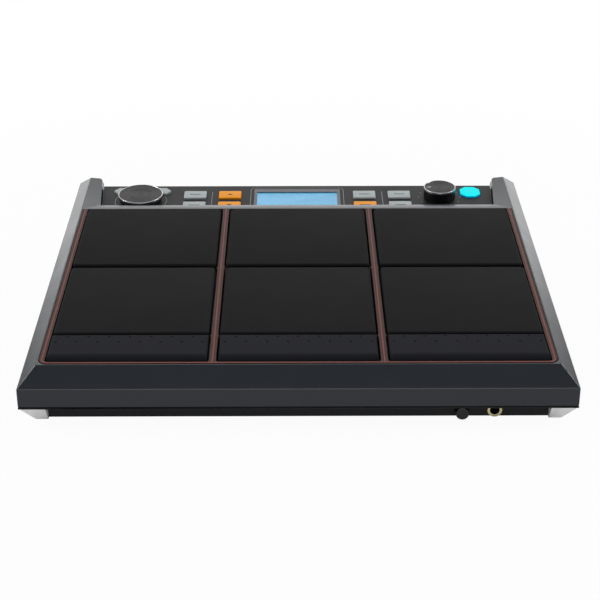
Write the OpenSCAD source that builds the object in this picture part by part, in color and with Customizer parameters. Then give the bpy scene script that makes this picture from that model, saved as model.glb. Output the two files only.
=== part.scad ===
// Electronic percussion pad for a desk or a stand: six rubber pads and three edge bars on a wedge
// shaped case, with a sunken control panel behind them.
// Millimetres, X to the player's right, Y to the back, Z up, origin under the middle of the case.

/* [Pads] */
// Width of one rubber pad
pad_w = 105.6; // [98:0.1:112]
// Depth of one rubber pad
pad_d = 95.6; // [85:0.1:105]
// Depth of one edge bar in front of the pads
bar_d = 31.9; // [28:0.1:36]
// Height of the pad tops above the deck
pad_rise = 2; // [1:0.1:4]
// Depth of the rubber skirt below the deck
pad_skirt = 5.5; // [4.5:0.1:7]
// Thickness of the rubber over its steel plate
pad_rubber = 5; // [3.5:0.1:5.5]
// Corner radius of a pad in plan
pad_corner_r = 3; // [1:0.1:5]
// Radius along a pad's top edges
pad_edge_r = 1.8; // [0.5:0.1:3]
// Radius of an edge bar's rounded front
bar_front_r = 7; // [4:0.1:7]
// Width of the rubber skirt round a pad's plate
pad_skirt_w = 3; // [2:0.1:5]
// Thickness of the steel plate under each pad
plate_t = 1.2; // [0.8:0.1:1.8]
// Radius of a piezo sensor disc
piezo_r = 13.5; // [8:0.5:20]
// Radius of the smaller piezo disc under an edge bar
bar_piezo_r = 9; // [6:0.5:9.5]
// Thickness of a piezo sensor disc
piezo_t = 0.5; // [0.3:0.1:0.8]

/* [Deck] */
// Slope of the playing deck
deck_tilt = 6; // [4:0.5:8]
// Height of the deck's front edge above the table
deck_front_z = 39.9; // [38:0.1:45]
// Gap between two columns of pads
column_gap = 7.4; // [6:0.1:10]
// Gap between two rows of pads
row_gap = 3.5; // [2:0.1:6]
// Gap between the edge bars and the first row of pads
bar_gap = 1.5; // [0.8:0.1:3]
// Gap between the pads and the trim round them
pad_trim_gap = 0.8; // [0.4:0.1:1.5]
// Depth of the well that the pads stand in
well_depth = 10.2; // [9.5:0.1:12]
// Land between the well and the bevel
rim = 1; // [0.6:0.1:2]

/* [Trim] */
// Width of the trim strip round the pads
trim_w = 3.8; // [3:0.1:5]
// Width of the trim strip in front of the edge bars
trim_front_w = 1.9; // [1.7:0.1:5]
// Width of the trim's two dividers
divider_w = 4.9; // [3.5:0.1:5]
// Gap between the trim and the wall of the well
trim_gap = 0.4; // [0.2:0.1:0.8]
// Height of the trim above the deck
trim_rise = 0.3; // [0:0.1:1]
// Outer corner radius of the trim
trim_corner_r = 6; // [4.5:0.1:9]
// Width of the light guide let into the trim
guide_w = 1.2; // [0.8:0.1:1.8]
// Depth of the light guide's groove
guide_depth = 1.6; // [1:0.1:3]
// Length of the diamonds on the dividers
diamond_l = 8; // [5:0.1:12]

/* [Case] */
// Drop of the bevel round the deck, square to the deck
bevel_drop = 12.5; // [10:0.5:13]
// Run of the side bevels
side_bevel_run = 12; // [9:0.5:16]
// Run of the front bevel
front_bevel_run = 10.4; // [8:0.1:14]
// Run of the cheeks' rear bevel
rear_bevel_run = 16; // [13:0.5:18]
// Set-back of the front band's foot
band_draft = 0.5; // [0:0.1:1]
// Wall of the top case
wall = 2.5; // [2:0.1:3]
// Run of the crossbar between pads and panel
crossbar_run = 12.3; // [12:0.1:18]
// Slope of the crossbar and of the cheeks' inner bevels
inner_slope = 13; // [5:0.1:13]
// Height of the seam between the two cases
seam_z = 13.1; // [13:0.1:15]
// Thickness of the bottom case's lip
lip_t = 1.5; // [1.2:0.1:1.5]
// Thickness of the bottom case's floor
floor_t = 1.6; // [1.2:0.1:1.6]
// Height of the floor above the table
floor_z = 1.2; // [0.8:0.1:1.2]
// Wall of the bottom case's tub
tub_wall = 2; // [1.6:0.1:2.4]
// Set-back of the tub's front, which holds the phones socket
tub_front_inset = 10; // [9:0.5:12]
// Set-back of the tub's rear
tub_rear_inset = 20; // [19:0.5:24]

/* [Control panel] */
// Drop of the panel's face below the deck
panel_drop = 8.3; // [7.5:0.1:9]
// Depth of the panel from front to back
panel_d = 48; // [47:0.5:54]
// Thickness of the panel plate
panel_t = 2; // [1.5:0.1:2.5]
// Width of a cheek beside the front of the panel
cheek_front_w = 13.4; // [11:0.1:15]
// Width of a cheek beside the rear of the panel
cheek_rear_w = 9.3; // [8.5:0.1:11]
// Gap in front of the panel
panel_gap = 0.4; // [0.2:0.1:0.8]
// Shadow gap between the panel and the cheeks
panel_side_gap = 1.2; // [0.4:0.1:2]
// Width of a key
key_w = 18.5; // [14:0.1:20]
// Depth of a key
key_d = 13.4; // [9:0.1:13.4]
// Height of the keys above the panel
key_rise = 1.4; // [1.3:0.1:3]
// Travel of the keys
key_travel = 1; // [0.4:0.1:1]
// Gap between a key and its opening
key_gap = 0.35; // [0.3:0.05:0.5]
// Place of the outer key columns, as a share of the panel's half width
key_outer_share = 0.53; // [0.51:0.01:0.54]
// Place of the inner key columns, as a share of the panel's half width
key_inner_share = 0.349; // [0.335:0.001:0.36]
// Width of the display's bezel
bezel_w = 71; // [64:0.5:74]
// Depth of the display's bezel
bezel_d = 40; // [34:0.5:40]
// Width of the display's window
screen_w = 65.8; // [50:0.5:65.8]
// Depth of the display's window
screen_d = 29; // [20:0.5:33]

/* [Dials] */
// Radius of the jog dial
dial_r = 18.2; // [16:0.1:18.5]
// Height of the jog dial above the panel
dial_h = 6.6; // [6:0.1:9]
// Distance of the jog dial's axis from the left cheek
dial_inset = 30.4; // [29.5:0.1:31.5]
// Radius of the volume knob
knob_r = 13; // [11:0.1:13.5]
// Height of the volume knob above the panel
knob_h = 9.3; // [8:0.1:12]
// Distance of the volume knob's axis from the right cheek
knob_inset = 41.4; // [40.5:0.1:43]
// Radius of the control shafts
shaft_r = 3; // [2.5:0.1:3.2]
// Running clearance of a shaft in its bush
shaft_clearance = 0.05; // [0.02:0.01:0.09]
// Radius of the phones level knob
phones_knob_r = 4.8; // [3.5:0.1:4.8]
// Length of the phones level knob
phones_knob_l = 7; // [5:0.1:8]

/* [Sockets and mounts] */
// Bore radius of the quarter inch sockets
jack_bore_r = 3.25; // [3.2:0.01:3.3]
// Outer radius of a socket's ring nut
jack_nut_r = 4.9; // [4.7:0.05:4.9]
// Height of the phones socket's axis above the table
phones_z = 6.5; // [6.4:0.1:6.6]
// Distance of the phones socket from the right side of the tub
phones_inset = 36; // [30:0.5:44]
// Spacing of the phones socket and its level knob
phones_pitch = 21.9; // [20:0.1:26]
// Height of the rear sockets' axes above the table
rear_jack_z = 38; // [36:0.5:40]
// Spacing of the rear sockets
rear_jack_pitch = 24; // [22:0.5:28]
// Spacing of the four threaded inserts, side to side and front to back
insert_pitch = 100; // [80:1:110]
// Bore radius of a threaded insert, for a 6 mm machine screw
insert_bore_r = 2.5; // [2:0.1:3]
// Length of a threaded insert
insert_l = 8; // [6:0.5:8]
// Width of a corner foot at its top
foot_w = 18; // [14:0.5:18.5]
// Taper of a foot's outer faces over its height
foot_taper = 8.5; // [4:0.5:9]

/* [Hidden] */
$fn = 64;

// Clearance that keeps a fixed piece just off its seat
fit_gap = 0.05;
// Length that carries a cut well past the faces it opens
past = 60;

// Pad field, measured along the deck from its front edge
column_pitch = pad_w + column_gap;
column_u = [-column_pitch, 0, column_pitch];
field_half = column_pitch + pad_w / 2;
well_half = field_half + pad_trim_gap + trim_w + trim_gap;
ridge_half = well_half + rim;
half_w = ridge_half + side_bevel_run;
well_v0 = rim;
trim_v0 = well_v0 + trim_gap;
bar_v0 = trim_v0 + trim_front_w + pad_trim_gap;
row_v0 = [bar_v0 + bar_d + bar_gap, bar_v0 + bar_d + bar_gap + pad_d + row_gap];
well_v1 = row_v0[1] + pad_d + row_gap;
crossbar_v = well_v1 + rim;
panel_v0 = crossbar_v + crossbar_run;
deck_l = panel_v0 + panel_d;

// Layers under the rubber
plate_top = pad_rise - pad_rubber;
plate_low = plate_top - plate_t;
plate_in = pad_skirt_w + 0.2;
foam_in = pad_skirt_w + 1.2;
foam_ring = 1.5;
wire_hole_r = 4;

// The deck frame has its origin in the middle of the deck's front edge
deck_y = -((deck_l + rear_bevel_run - front_bevel_run) * cos(deck_tilt) / 2 + bevel_drop * sin(deck_tilt));
function deck_point(v, w) = [
    deck_y + v * cos(deck_tilt) - w * sin(deck_tilt),
    deck_front_z + v * sin(deck_tilt) + w * cos(deck_tilt)
];
front_y = deck_point(-front_bevel_run, -bevel_drop)[0];
rear_y = deck_point(deck_l + rear_bevel_run, -bevel_drop)[0];

// Moves each edge of a convex outline inwards by t
function edge_dir(p, i) = (p[(i + 1) % len(p)] - p[i]) / norm(p[(i + 1) % len(p)] - p[i]);
function left_of(d) = [-d[1], d[0]];
function inset(p, t) = [
    for (i = [0:len(p) - 1])
        let (a = left_of(edge_dir(p, (i + len(p) - 1) % len(p))), b = left_of(edge_dir(p, i)))
            p[i] + t * (a + b) / (1 + a * b)
];

// Case outlines: seen from the side, and across the deck
case_deep = 100;
function case_profile(bottom_z) = [
    [front_y + band_draft, bottom_z],
    [rear_y, bottom_z],
    deck_point(deck_l + rear_bevel_run, -bevel_drop),
    deck_point(deck_l, 0),
    deck_point(0, 0),
    deck_point(-front_bevel_run, -bevel_drop)
];
deck_section = [
    [-half_w, -case_deep], [half_w, -case_deep], [half_w, -bevel_drop],
    [ridge_half, 0], [-ridge_half, 0], [-half_w, -bevel_drop]
];

// Control panel levels and places
panel_w = -panel_drop;
panel_under = panel_w - panel_t;
panel_half_front = ridge_half - cheek_front_w;
panel_half_rear = ridge_half - cheek_rear_w;
panel_ledge_side = 4;
panel_ledge_front = 0.9;
panel_ledge_rear = 4;
pcb_t = 1.6;
panel_boss_h = 8.1;
panel_pcb_top = panel_under - panel_boss_h;
panel_pcb_inset = 8;
panel_pcb_half = panel_half_front - panel_pcb_inset;
panel_pcb_margin = 3;
panel_boss_r = 2.5;
panel_boss_share = [0.622, 0.262];
panel_boss_u = panel_boss_share * panel_half_front;
panel_boss_v = [panel_v0 + 4, panel_v0 + 40.5];
panel_boss_places = [for (s = [-1, 1], u = panel_boss_u, v = panel_boss_v) [s * u, v]];

// Keys
key_corner_r = 1.2;
key_edge_r = 0.6;
key_flange = 0.8;
key_flange_t = 1.1;
key_plunger_r = 2;
key_plunger_l = 2;
key_outer_u = key_outer_share * panel_half_front;
key_inner_u = key_inner_share * panel_half_front;
key_front_v = panel_v0 + 8.8;
key_rear_v = panel_v0 + 29.2;
plunger_w = panel_under - key_flange_t - key_plunger_l;
switch_gap = key_travel + 0.3;
switch_top = plunger_w - switch_gap;
switch_body = 6;
switch_body_h = 2.6;
switch_stem_r = 1.7;
power_inset = 15.4;
power_u = panel_half_front - power_inset;
power_v = panel_v0 + 33.8;
power_w = 16.2;
power_d = 18;
power_cut = 4.5;
dial_u = panel_half_front - dial_inset;
dial_v = panel_v0 + 19.5;
dial_key_v = [panel_v0 + 31, panel_v0 + 42];
dial_key_tip_u = dial_u + 23.8;
dial_key_point = 4.3;
dial_key_split = 1.2;
dial_key_gap = 1.6;
knob_u = panel_half_front - knob_inset;
knob_v = panel_v0 + 26;
key_places = [
    [-key_outer_u, key_rear_v], [-key_outer_u, key_front_v],
    [-key_inner_u, key_rear_v], [-key_inner_u, key_front_v],
    [key_inner_u, key_rear_v], [key_inner_u, key_front_v],
    [key_outer_u, key_rear_v], [key_outer_u, key_front_v]
];
key_grey = "#cfd6d6";
key_orange = "#f59a1e";
dial_key_switch_u = dial_key_tip_u - 6.5;
dial_key_switch_v = (dial_key_v[0] + dial_key_v[1]) / 2;

// Display
bezel_v = panel_v0 + 21.6;
bezel_rise = 0.3;
bezel_flange = 2;
bezel_flange_d = 0.4;
bezel_flange_t = 1.2;
screen_v = bezel_v - 0.2;
lcd_window_t = 1;
lcd_window_lip = 0.8;
lcd_window_depth = 0.7;

// Control shafts
control_body = 11;
control_body_h = 6.5;
control_bush_r = shaft_r + 1;
control_bush_rise = 1.2;
control_low = panel_pcb_top - panel_w;
control_bore_z = control_low + 1.5;
hub_z = control_bush_rise + 0.5;
bush_hole_gap = 0.3;
turn_gap = 0.6;
dial_ring_w = 1.3;
dial_ring_h = 1.6;
ring_edge = 0.5;
cap_sink = 0.25;
cap_dish = 0.25;
pointer_w = 0.9;
pointer_l = 3.6;
pointer_depth = 0.2;
dial_roof = 1.3;
dial_shell = 2;
dial_hub_r = 6;
pot_shaft_r = 1.5;
pot_bush_r = 2.6;
pot_body = [9.5, 11];
pot_drop = 3.5;

// Bottom case, feet and fasteners
lip_z = seam_z - lip_t;
floor_top = floor_z + floor_t;
tub_half = half_w - foot_w - fit_gap;
tub_y0 = front_y + tub_front_inset;
tub_y1 = rear_y - tub_rear_inset;
foot_margin = 0.8;
foot_peg_r = 2.5;
screw_r = 1.4;
screw_head_r = 2.7;
screw_head_h = 1.6;
boss_r = 3.6;
boss_h = 7;
boss_inset = 5.5;
screw_l = 6;
boss_share = [0.3, 0.816];
boss_x = boss_share * half_w;
boss_side_y = 60;
boss_places = concat(
    [for (x = boss_x, s = [-1, 1]) [s * x, front_y + boss_inset]],
    [for (x = boss_x, s = [-1, 1]) [s * x, rear_y - boss_inset]],
    [for (y = [-boss_side_y, boss_side_y], s = [-1, 1]) [s * (half_w - boss_inset), y]]
);
lip_arch_r = 6;
lip_arch_h = 1.1;
lip_arch_depth = 2;
insert_r = insert_bore_r + 1.5;
insert_places = [for (sx = [-1, 1], sy = [-1, 1]) [sx, sy] * insert_pitch / 2];
main_pcb_w = 150;
main_pcb_d = 110;
main_pcb_y = 20;
main_pcb_lift = 10;
main_pcb_z = floor_top + main_pcb_lift;
chip_w = 16;
chip_h = 1.6;
chip_pitch = 2 * chip_w;
can_r = 4;
can_h = 6;
main_post_r = 3;
main_post_in = 5;
main_posts = [for (sx = [-1, 1], sy = [-1, 1])
    [sx * (main_pcb_w / 2 - main_post_in), main_pcb_y + sy * (main_pcb_d / 2 - main_post_in)]];

// Sockets
bay_y = deck_point(deck_l, panel_w)[0];
bay_margin = 3.5;
bay_half = panel_half_rear + bay_margin;
bay_floor_z = 22;
phones_x = tub_half - phones_inset;
phones_knob_x = phones_x - phones_pitch;
jack_thread_r = jack_bore_r + 0.9;
jack_nut_t = 2;
jack_l = 24;
jack_half = 6;
jack_hole_gap = 0.2;
front_jack_low = phones_z - floor_top - fit_gap;
front_jack_high = 6.2;
rear_jack_x0 = -70;
rear_jack_x = [for (i = [0:3]) rear_jack_x0 + i * rear_jack_pitch];
rear_pcb_z = rear_jack_z - jack_half;
usb_x = rear_jack_x0 + 4.6 * rear_jack_pitch;
usb_size = [12, 16, 11];
usb_slot = [8.4, 9, 7.8];
usb_rise = 0.5;
dc_x = usb_x + 1.4 * rear_jack_pitch;
dc_size = [9, 13, 11];
dc_bore_r = 2.8;
dc_pin_r = 1;
dc_ring_r = 4.2;

// Places its children in the deck frame: u across, v back along the deck, w square to it
module deck() {
    translate([0, deck_y, deck_front_z]) rotate([deck_tilt, 0, 0]) children();
}

// Extrudes an outline of depth and height across the width
module across(half) {
    translate([-half, 0, 0]) rotate([90, 0, 90]) linear_extrude(2 * half) children();
}

// Extrudes an outline of width and height from y0 back to y1
module backwards(y0, y1) {
    translate([0, y1, 0]) rotate([90, 0, 0]) linear_extrude(y1 - y0) children();
}

// Rectangle with round corners, about its centre
module rounded_2d(w, d, r) {
    square([w - 2 * r, d], center = true);
    square([w, d - 2 * r], center = true);
    for (sx = [-1, 1], sy = [-1, 1]) {
        translate([sx * (w / 2 - r), sy * (d / 2 - r)]) circle(r);
    }
}

// Section of a block with its two top corners rounded
module round_top_2d(w, h, r) {
    translate([-w / 2, 0]) square([w, h - r]);
    translate([r - w / 2, 0]) square([w - 2 * r, h]);
    for (s = [-1, 1]) {
        translate([s * (w / 2 - r), h - r]) circle(r);
    }
}

// Block with round corners in plan and rounded top edges, standing on its base
module soft_block(w, d, h, corner_r, edge_r) {
    intersection() {
        linear_extrude(h) rounded_2d(w, d, corner_r);
        backwards(-d / 2, d / 2) round_top_2d(w, h, edge_r);
        across(w / 2) round_top_2d(d, h, edge_r);
    }
}

// Straight-backed outline with round front corners
module front_round_2d(half, y0, y1, r) {
    translate([-half, y0 + r]) square([2 * half, y1 - y0 - r]);
    translate([r - half, y0]) square([2 * (half - r), 2 * r]);
    for (s = [-1, 1]) {
        translate([s * (half - r), y0 + r]) circle(r);
    }
}

// Outer form of the case, with every face moved in by t
module case_block(t, bottom_z) {
    intersection() {
        across(half_w + past) polygon(inset(case_profile(bottom_z), t));
        deck() backwards(-past, deck_l + past) polygon(inset(deck_section, t));
    }
}

// Well for the pads, grown by t
module well(t) {
    deck() translate([0, 0, -well_depth - t]) linear_extrude(well_depth + t + past)
        front_round_2d(well_half + t, well_v0 - t, well_v1 + t, trim_corner_r + trim_gap + t);
}

// Space above the sloping crossbar and the cheeks' inner bevels, lowered by t
module dish(t) {
    sink = t / cos(inner_slope);
    fall = tan(inner_slope);
    dish_l = deck_l + past - crossbar_v;
    deck() intersection() {
        across(ridge_half) polygon([
            [crossbar_v, -sink], [crossbar_v + dish_l, -sink - dish_l * fall],
            [crossbar_v + dish_l, past], [crossbar_v, past]
        ]);
        backwards(crossbar_v, crossbar_v + dish_l) polygon([
            [-ridge_half, -sink], [0, -sink - ridge_half * fall],
            [ridge_half, -sink], [ridge_half, past], [-ridge_half, past]
        ]);
    }
}

// Flared plan of the control panel's recess, grown by t and carried back to v1
module recess_2d(t, v0, v1) {
    polygon([
        [-panel_half_front - t, v0], [panel_half_front + t, v0],
        [panel_half_rear + t, deck_l], [panel_half_rear + t, v1],
        [-panel_half_rear - t, v1], [-panel_half_rear - t, deck_l]
    ]);
}

// Recess of the control panel, grown by t
module recess(t) {
    deck() translate([0, 0, panel_under - t]) linear_extrude(past)
        recess_2d(t, panel_v0 - t, deck_l + past);
}

// Bay for the rear sockets between the cheeks, grown by t
module bay(t) {
    translate([-bay_half - t, bay_y - t, bay_floor_z - t])
        cube([2 * (bay_half + t), past, past]);
}

// Openings in the rear wall for the sockets
module rear_socket_holes() {
    y0 = bay_y - 2 * wall;
    y1 = bay_y + wall;
    for (x = rear_jack_x) {
        backwards(y0, y1) translate([x, rear_jack_z]) circle(jack_thread_r + jack_hole_gap);
    }
    backwards(y0, y1) translate([dc_x, rear_pcb_z + dc_size[2] / 2]) circle(dc_ring_r + jack_hole_gap);
    backwards(y0, y1) translate([usb_x, rear_pcb_z + usb_size[2] / 2])
        square([usb_size[0], usb_size[2]] + [2, 2] * jack_hole_gap, center = true);
}

// Centres of the nine pads and bars on the deck
function pad_centre(i) = [column_u[i % 3], row_v0[floor(i / 3)] + pad_d / 2];
function bar_centre(i) = [column_u[i], bar_v0 + bar_d / 2];

// Moulded top case: bevelled shell with the pad well, the crossbar, the panel recess and the rear bay
module top_case() {
    color("#3a3d44") difference() {
        union() {
            difference() {
                case_block(0, seam_z);
                difference() {
                    case_block(wall, seam_z - 2 * wall);
                    well(wall);
                    dish(wall);
                    recess(wall);
                    bay(wall);
                }
            }
            intersection() {
                case_block(0, seam_z);
                for (p = boss_places) {
                    translate([p[0], p[1], seam_z]) cylinder(r = boss_r, h = boss_h);
                }
            }
        }
        well(0);
        dish(0);
        recess(0);
        bay(0);
        deck() translate([panel_ledge_side - panel_half_front, panel_v0 + panel_ledge_front, 0])
            translate([0, 0, panel_under - 2 * wall]) cube([
                2 * (panel_half_front - panel_ledge_side),
                panel_d - panel_ledge_front - panel_ledge_rear,
                3 * wall
            ]);
        for (p = boss_places) {
            translate([p[0], p[1], seam_z - fit_gap]) cylinder(r = screw_r + fit_gap, h = screw_l);
        }
        deck() for (c = concat([for (i = [0:5]) pad_centre(i)], [for (i = [0:2]) bar_centre(i)])) {
            translate([c[0], c[1], -well_depth - 2 * wall]) cylinder(r = wire_hole_r, h = 3 * wall);
        }
        rear_socket_holes();
    }
}

// Bottom case: a thin lip under the top case and a set-back tub that holds the electronics
module bottom_case() {
    tub_h = seam_z - floor_z;
    inner_half = tub_half - tub_wall;
    color("#1c1d20") difference() {
        union() {
            translate([-half_w, front_y + band_draft, lip_z])
                cube([2 * half_w, rear_y - front_y - band_draft, lip_t]);
            translate([-tub_half, tub_y0, floor_z]) cube([2 * tub_half, tub_y1 - tub_y0, tub_h]);
        }
        difference() {
            translate([-inner_half, tub_y0 + tub_wall, floor_top])
                cube([2 * inner_half, tub_y1 - tub_y0 - 2 * tub_wall, past]);
            for (p = insert_places) {
                translate([p[0], p[1], 0]) cylinder(r = insert_r + 2.5, h = floor_z + insert_l + 1.5);
            }
            for (p = main_posts) {
                translate([p[0], p[1], 0]) cylinder(r = main_post_r, h = main_pcb_z);
            }
        }
        for (p = insert_places) {
            translate([p[0], p[1], 0]) cylinder(r = insert_r + fit_gap, h = floor_z + insert_l);
        }
        for (p = main_posts) {
            translate([p[0], p[1], main_pcb_z - screw_l]) cylinder(r = screw_r + fit_gap, h = screw_l + 1);
        }
        for (p = boss_places) {
            translate([p[0], p[1], lip_z - 1]) cylinder(r = screw_r + jack_hole_gap, h = lip_t + 2);
        }
        for (x = boss_x, s = [-1, 1]) {
            backwards(front_y - 1, front_y + band_draft + lip_arch_depth)
                translate([s * x, lip_z + lip_arch_h - lip_arch_r]) circle(lip_arch_r);
        }
        for (sx = [0, 1], sy = [0, 1]) {
            mirror([sx, 0, 0]) mirror([0, sy, 0]) foot_peg(fit_gap);
        }
        backwards(tub_y0 - 1, tub_y0 + tub_wall + 1) {
            translate([phones_x, phones_z]) circle(jack_thread_r + jack_hole_gap);
            translate([phones_knob_x, phones_z]) circle(pot_bush_r + jack_hole_gap);
        }
    }
}

// Peg that holds a foot in the lip, grown by gap
module foot_peg(gap) {
    translate([half_w - foot_w / 2, front_y + foot_w / 2, lip_z - 1])
        cylinder(r = foot_peg_r + gap, h = lip_t + 1 + 20 * gap);
}

// Corner feet: light wedges whose outer faces taper in towards the table
module corner_feet() {
    color("#dedfdc") for (sx = [0, 1], sy = [0, 1]) {
        mirror([sx, 0, 0]) mirror([0, sy, 0]) {
            intersection() {
                backwards(front_y, front_y + foot_w) polygon([
                    [half_w - foot_w, 0], [half_w - foot_margin - foot_taper, 0],
                    [half_w - foot_margin, lip_z], [half_w - foot_w, lip_z]
                ]);
                across(half_w) polygon([
                    [front_y + foot_w, 0], [front_y + foot_w, lip_z],
                    [front_y + foot_margin, lip_z], [front_y + foot_margin + foot_taper, 0]
                ]);
            }
            foot_peg(0);
        }
    }
}

// Pan head screw pointing up, with its head under z = 0
module screw(l) {
    translate([0, 0, -screw_head_h]) cylinder(r = screw_head_r, h = screw_head_h);
    cylinder(r = screw_r, h = l);
}

// Screws that draw the two cases together through the lip
module case_screws() {
    color("#2a2a2c") for (p = boss_places) {
        translate([p[0], p[1], lip_z]) screw(screw_l);
    }
}

// Threaded brass inserts under the case for a stand's clamp plate
module threaded_inserts() {
    color("#b08d3c") for (p = insert_places) {
        translate([p[0], p[1], floor_z]) difference() {
            cylinder(r = insert_r, h = insert_l);
            translate([0, 0, -1]) cylinder(r = insert_bore_r, h = insert_l + 2);
        }
    }
}

// Trim plan: an open loop, strip wide at the sides and front wide at the front, and two dividers
module trim_2d(strip, front, divider) {
    outer = trim_gap + (trim_w - strip) / 2;
    inner = outer + strip;
    start_v = trim_v0 + (trim_front_w - front) / 2;
    end_v = well_v1 - trim_gap;
    difference() {
        front_round_2d(well_half - outer, start_v, end_v, trim_corner_r + trim_gap - outer);
        front_round_2d(well_half - inner, start_v + front, end_v + past, trim_corner_r + trim_gap - inner);
    }
    for (s = [-1, 1]) {
        translate([s * column_pitch / 2 - divider / 2, start_v]) square([divider, end_v - start_v]);
    }
}

// Diamonds on the dividers where two rows meet, and flares at both ends
module diamonds_2d() {
    half = column_gap / 2 - 0.2;
    row_v = [bar_v0 + bar_d + bar_gap / 2, row_v0[1] - row_gap / 2];
    front_v = trim_v0 + trim_front_w;
    rear_v = well_v1 - trim_gap;
    for (s = [-1, 1]) {
        translate([s * column_pitch / 2, 0]) {
            for (v = row_v) {
                polygon([[-half, v], [0, v - diamond_l / 2], [half, v], [0, v + diamond_l / 2]]);
            }
            polygon([[-half, front_v], [half, front_v], [0, front_v + diamond_l / 2]]);
            polygon([[-half, rear_v], [0, rear_v - diamond_l / 2], [half, rear_v]]);
        }
    }
}

// Smoky trim that stands on the floor of the well, with a groove along its top
module trim_frame() {
    color("#6e4a44") deck() difference() {
        translate([0, 0, -well_depth]) linear_extrude(well_depth + trim_rise) {
            trim_2d(trim_w, trim_front_w, divider_w);
            diamonds_2d();
        }
        translate([0, 0, trim_rise - guide_depth]) linear_extrude(past)
            trim_2d(guide_w + 2 * fit_gap, guide_w + 2 * fit_gap, guide_w + 2 * fit_gap);
    }
}

// Red light guide let into the trim's groove
module light_guide() {
    color("#c8635a") deck() translate([0, 0, trim_rise - guide_depth]) linear_extrude(guide_depth)
        trim_2d(guide_w, guide_w, guide_w);
}

// Rubber pad number i, moulded round the edge of its plate
module rubber_pad(i) {
    h = pad_rise + pad_skirt;
    color("#28282a") deck() translate([pad_centre(i)[0], pad_centre(i)[1], -pad_skirt]) difference() {
        soft_block(pad_w, pad_d, h, pad_corner_r, pad_edge_r);
        translate([0, 0, -1]) linear_extrude(h - pad_rubber + 1)
            square([pad_w - 2 * pad_skirt_w, pad_d - 2 * pad_skirt_w], center = true);
    }
}

// Section of an edge bar: round nose at the front, small radius at the back
module bar_2d(h) {
    square([bar_d, h - bar_front_r]);
    translate([bar_front_r, 0]) square([bar_d - bar_front_r, h - pad_edge_r]);
    translate([bar_front_r, 0]) square([bar_d - bar_front_r - pad_edge_r, h]);
    translate([bar_front_r, h - bar_front_r]) circle(bar_front_r);
    translate([bar_d - pad_edge_r, h - pad_edge_r]) circle(pad_edge_r);
}

// Rubber edge bar number i
module rubber_bar(i) {
    h = pad_rise + pad_skirt;
    color("#28282a") deck() translate([bar_centre(i)[0], bar_v0, -pad_skirt]) difference() {
        intersection() {
            across(pad_w / 2) bar_2d(h);
            backwards(0, bar_d) round_top_2d(pad_w, h, pad_edge_r);
        }
        translate([0, bar_d / 2, -1]) linear_extrude(h - pad_rubber + 1)
            square([pad_w - 2 * pad_skirt_w, bar_d - 2 * pad_skirt_w], center = true);
    }
}

// Puts its children under each pad, or under each bar
module at_pads() {
    deck() for (i = [0:5]) {
        translate([pad_centre(i)[0], pad_centre(i)[1], 0]) children();
    }
}
module at_bars() {
    deck() for (i = [0:2]) {
        translate([bar_centre(i)[0], bar_centre(i)[1], 0]) children();
    }
}

// Steel plates that the rubber is moulded on
module pad_plates() {
    color("silver") {
        at_pads() translate([0, 0, plate_low]) linear_extrude(plate_t)
            square([pad_w - 2 * plate_in, pad_d - 2 * plate_in], center = true);
        at_bars() translate([0, 0, plate_low]) linear_extrude(plate_t)
            square([pad_w - 2 * plate_in, bar_d - 2 * plate_in], center = true);
    }
}

// Piezo discs glued under the plates
module piezo_discs() {
    color("#b08d3c") {
        at_pads() translate([0, 0, plate_low - piezo_t]) cylinder(r = piezo_r, h = piezo_t);
        at_bars() translate([0, 0, plate_low - piezo_t]) cylinder(r = bar_piezo_r, h = piezo_t);
    }
}

// Foam blocks that carry the plates in the well, open round the discs
module pad_foams() {
    foam_h = well_depth + plate_low;
    color("#55565a") {
        at_pads() translate([0, 0, -well_depth]) linear_extrude(foam_h) difference() {
            square([pad_w - 2 * foam_in, pad_d - 2 * foam_in], center = true);
            circle(piezo_r + foam_ring);
        }
        at_bars() translate([0, 0, -well_depth]) linear_extrude(foam_h) difference() {
            square([pad_w - 2 * foam_in, bar_d - 2 * foam_in], center = true);
            circle(bar_piezo_r + foam_ring);
        }
    }
}

module pad_1() { rubber_pad(0); }
module pad_2() { rubber_pad(1); }
module pad_3() { rubber_pad(2); }
module pad_4() { rubber_pad(3); }
module pad_5() { rubber_pad(4); }
module pad_6() { rubber_pad(5); }
module edge_bar_1() { rubber_bar(0); }
module edge_bar_2() { rubber_bar(1); }
module edge_bar_3() { rubber_bar(2); }

// Key outlines, grown by gap: the plain keys, the power button and the wings behind the dial
module key_2d(gap) {
    rounded_2d(key_w + 2 * gap, key_d + 2 * gap, key_corner_r + gap);
}
module power_2d(gap) {
    a = power_w / 2 + gap;
    b = power_d / 2 + gap;
    c = power_cut + gap * (2 - sqrt(2));
    polygon([
        [c - a, -b], [a - c, -b], [a, c - b], [a, b - c],
        [a - c, b], [c - a, b], [-a, b - c], [-a, c - b]
    ]);
}
module dial_key_2d(gap) {
    mid = (dial_key_v[0] + dial_key_v[1]) / 2;
    half = (dial_key_v[1] - dial_key_v[0]) / 2 + gap;
    tip = -dial_key_tip_u - 1.3 * gap;
    end = -dial_u - dial_key_split + gap;
    difference() {
        polygon([
            [tip, mid], [tip + dial_key_point, mid - half], [end, mid - half],
            [end, mid + half], [tip + dial_key_point, mid + half]
        ]);
        translate([-dial_u, dial_v]) circle(dial_r + dial_key_gap - gap);
    }
}

// Mirrors its children to the other side of the jog dial
module other_side_of_dial() {
    translate([-2 * dial_u, 0, 0]) mirror([1, 0, 0]) children();
}

// Foot of a key under the panel: the flange that stops it and the plunger over its switch
module key_plunger(u, v) {
    translate([u, v, plunger_w]) cylinder(r = key_plunger_r, h = key_plunger_l);
}

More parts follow.
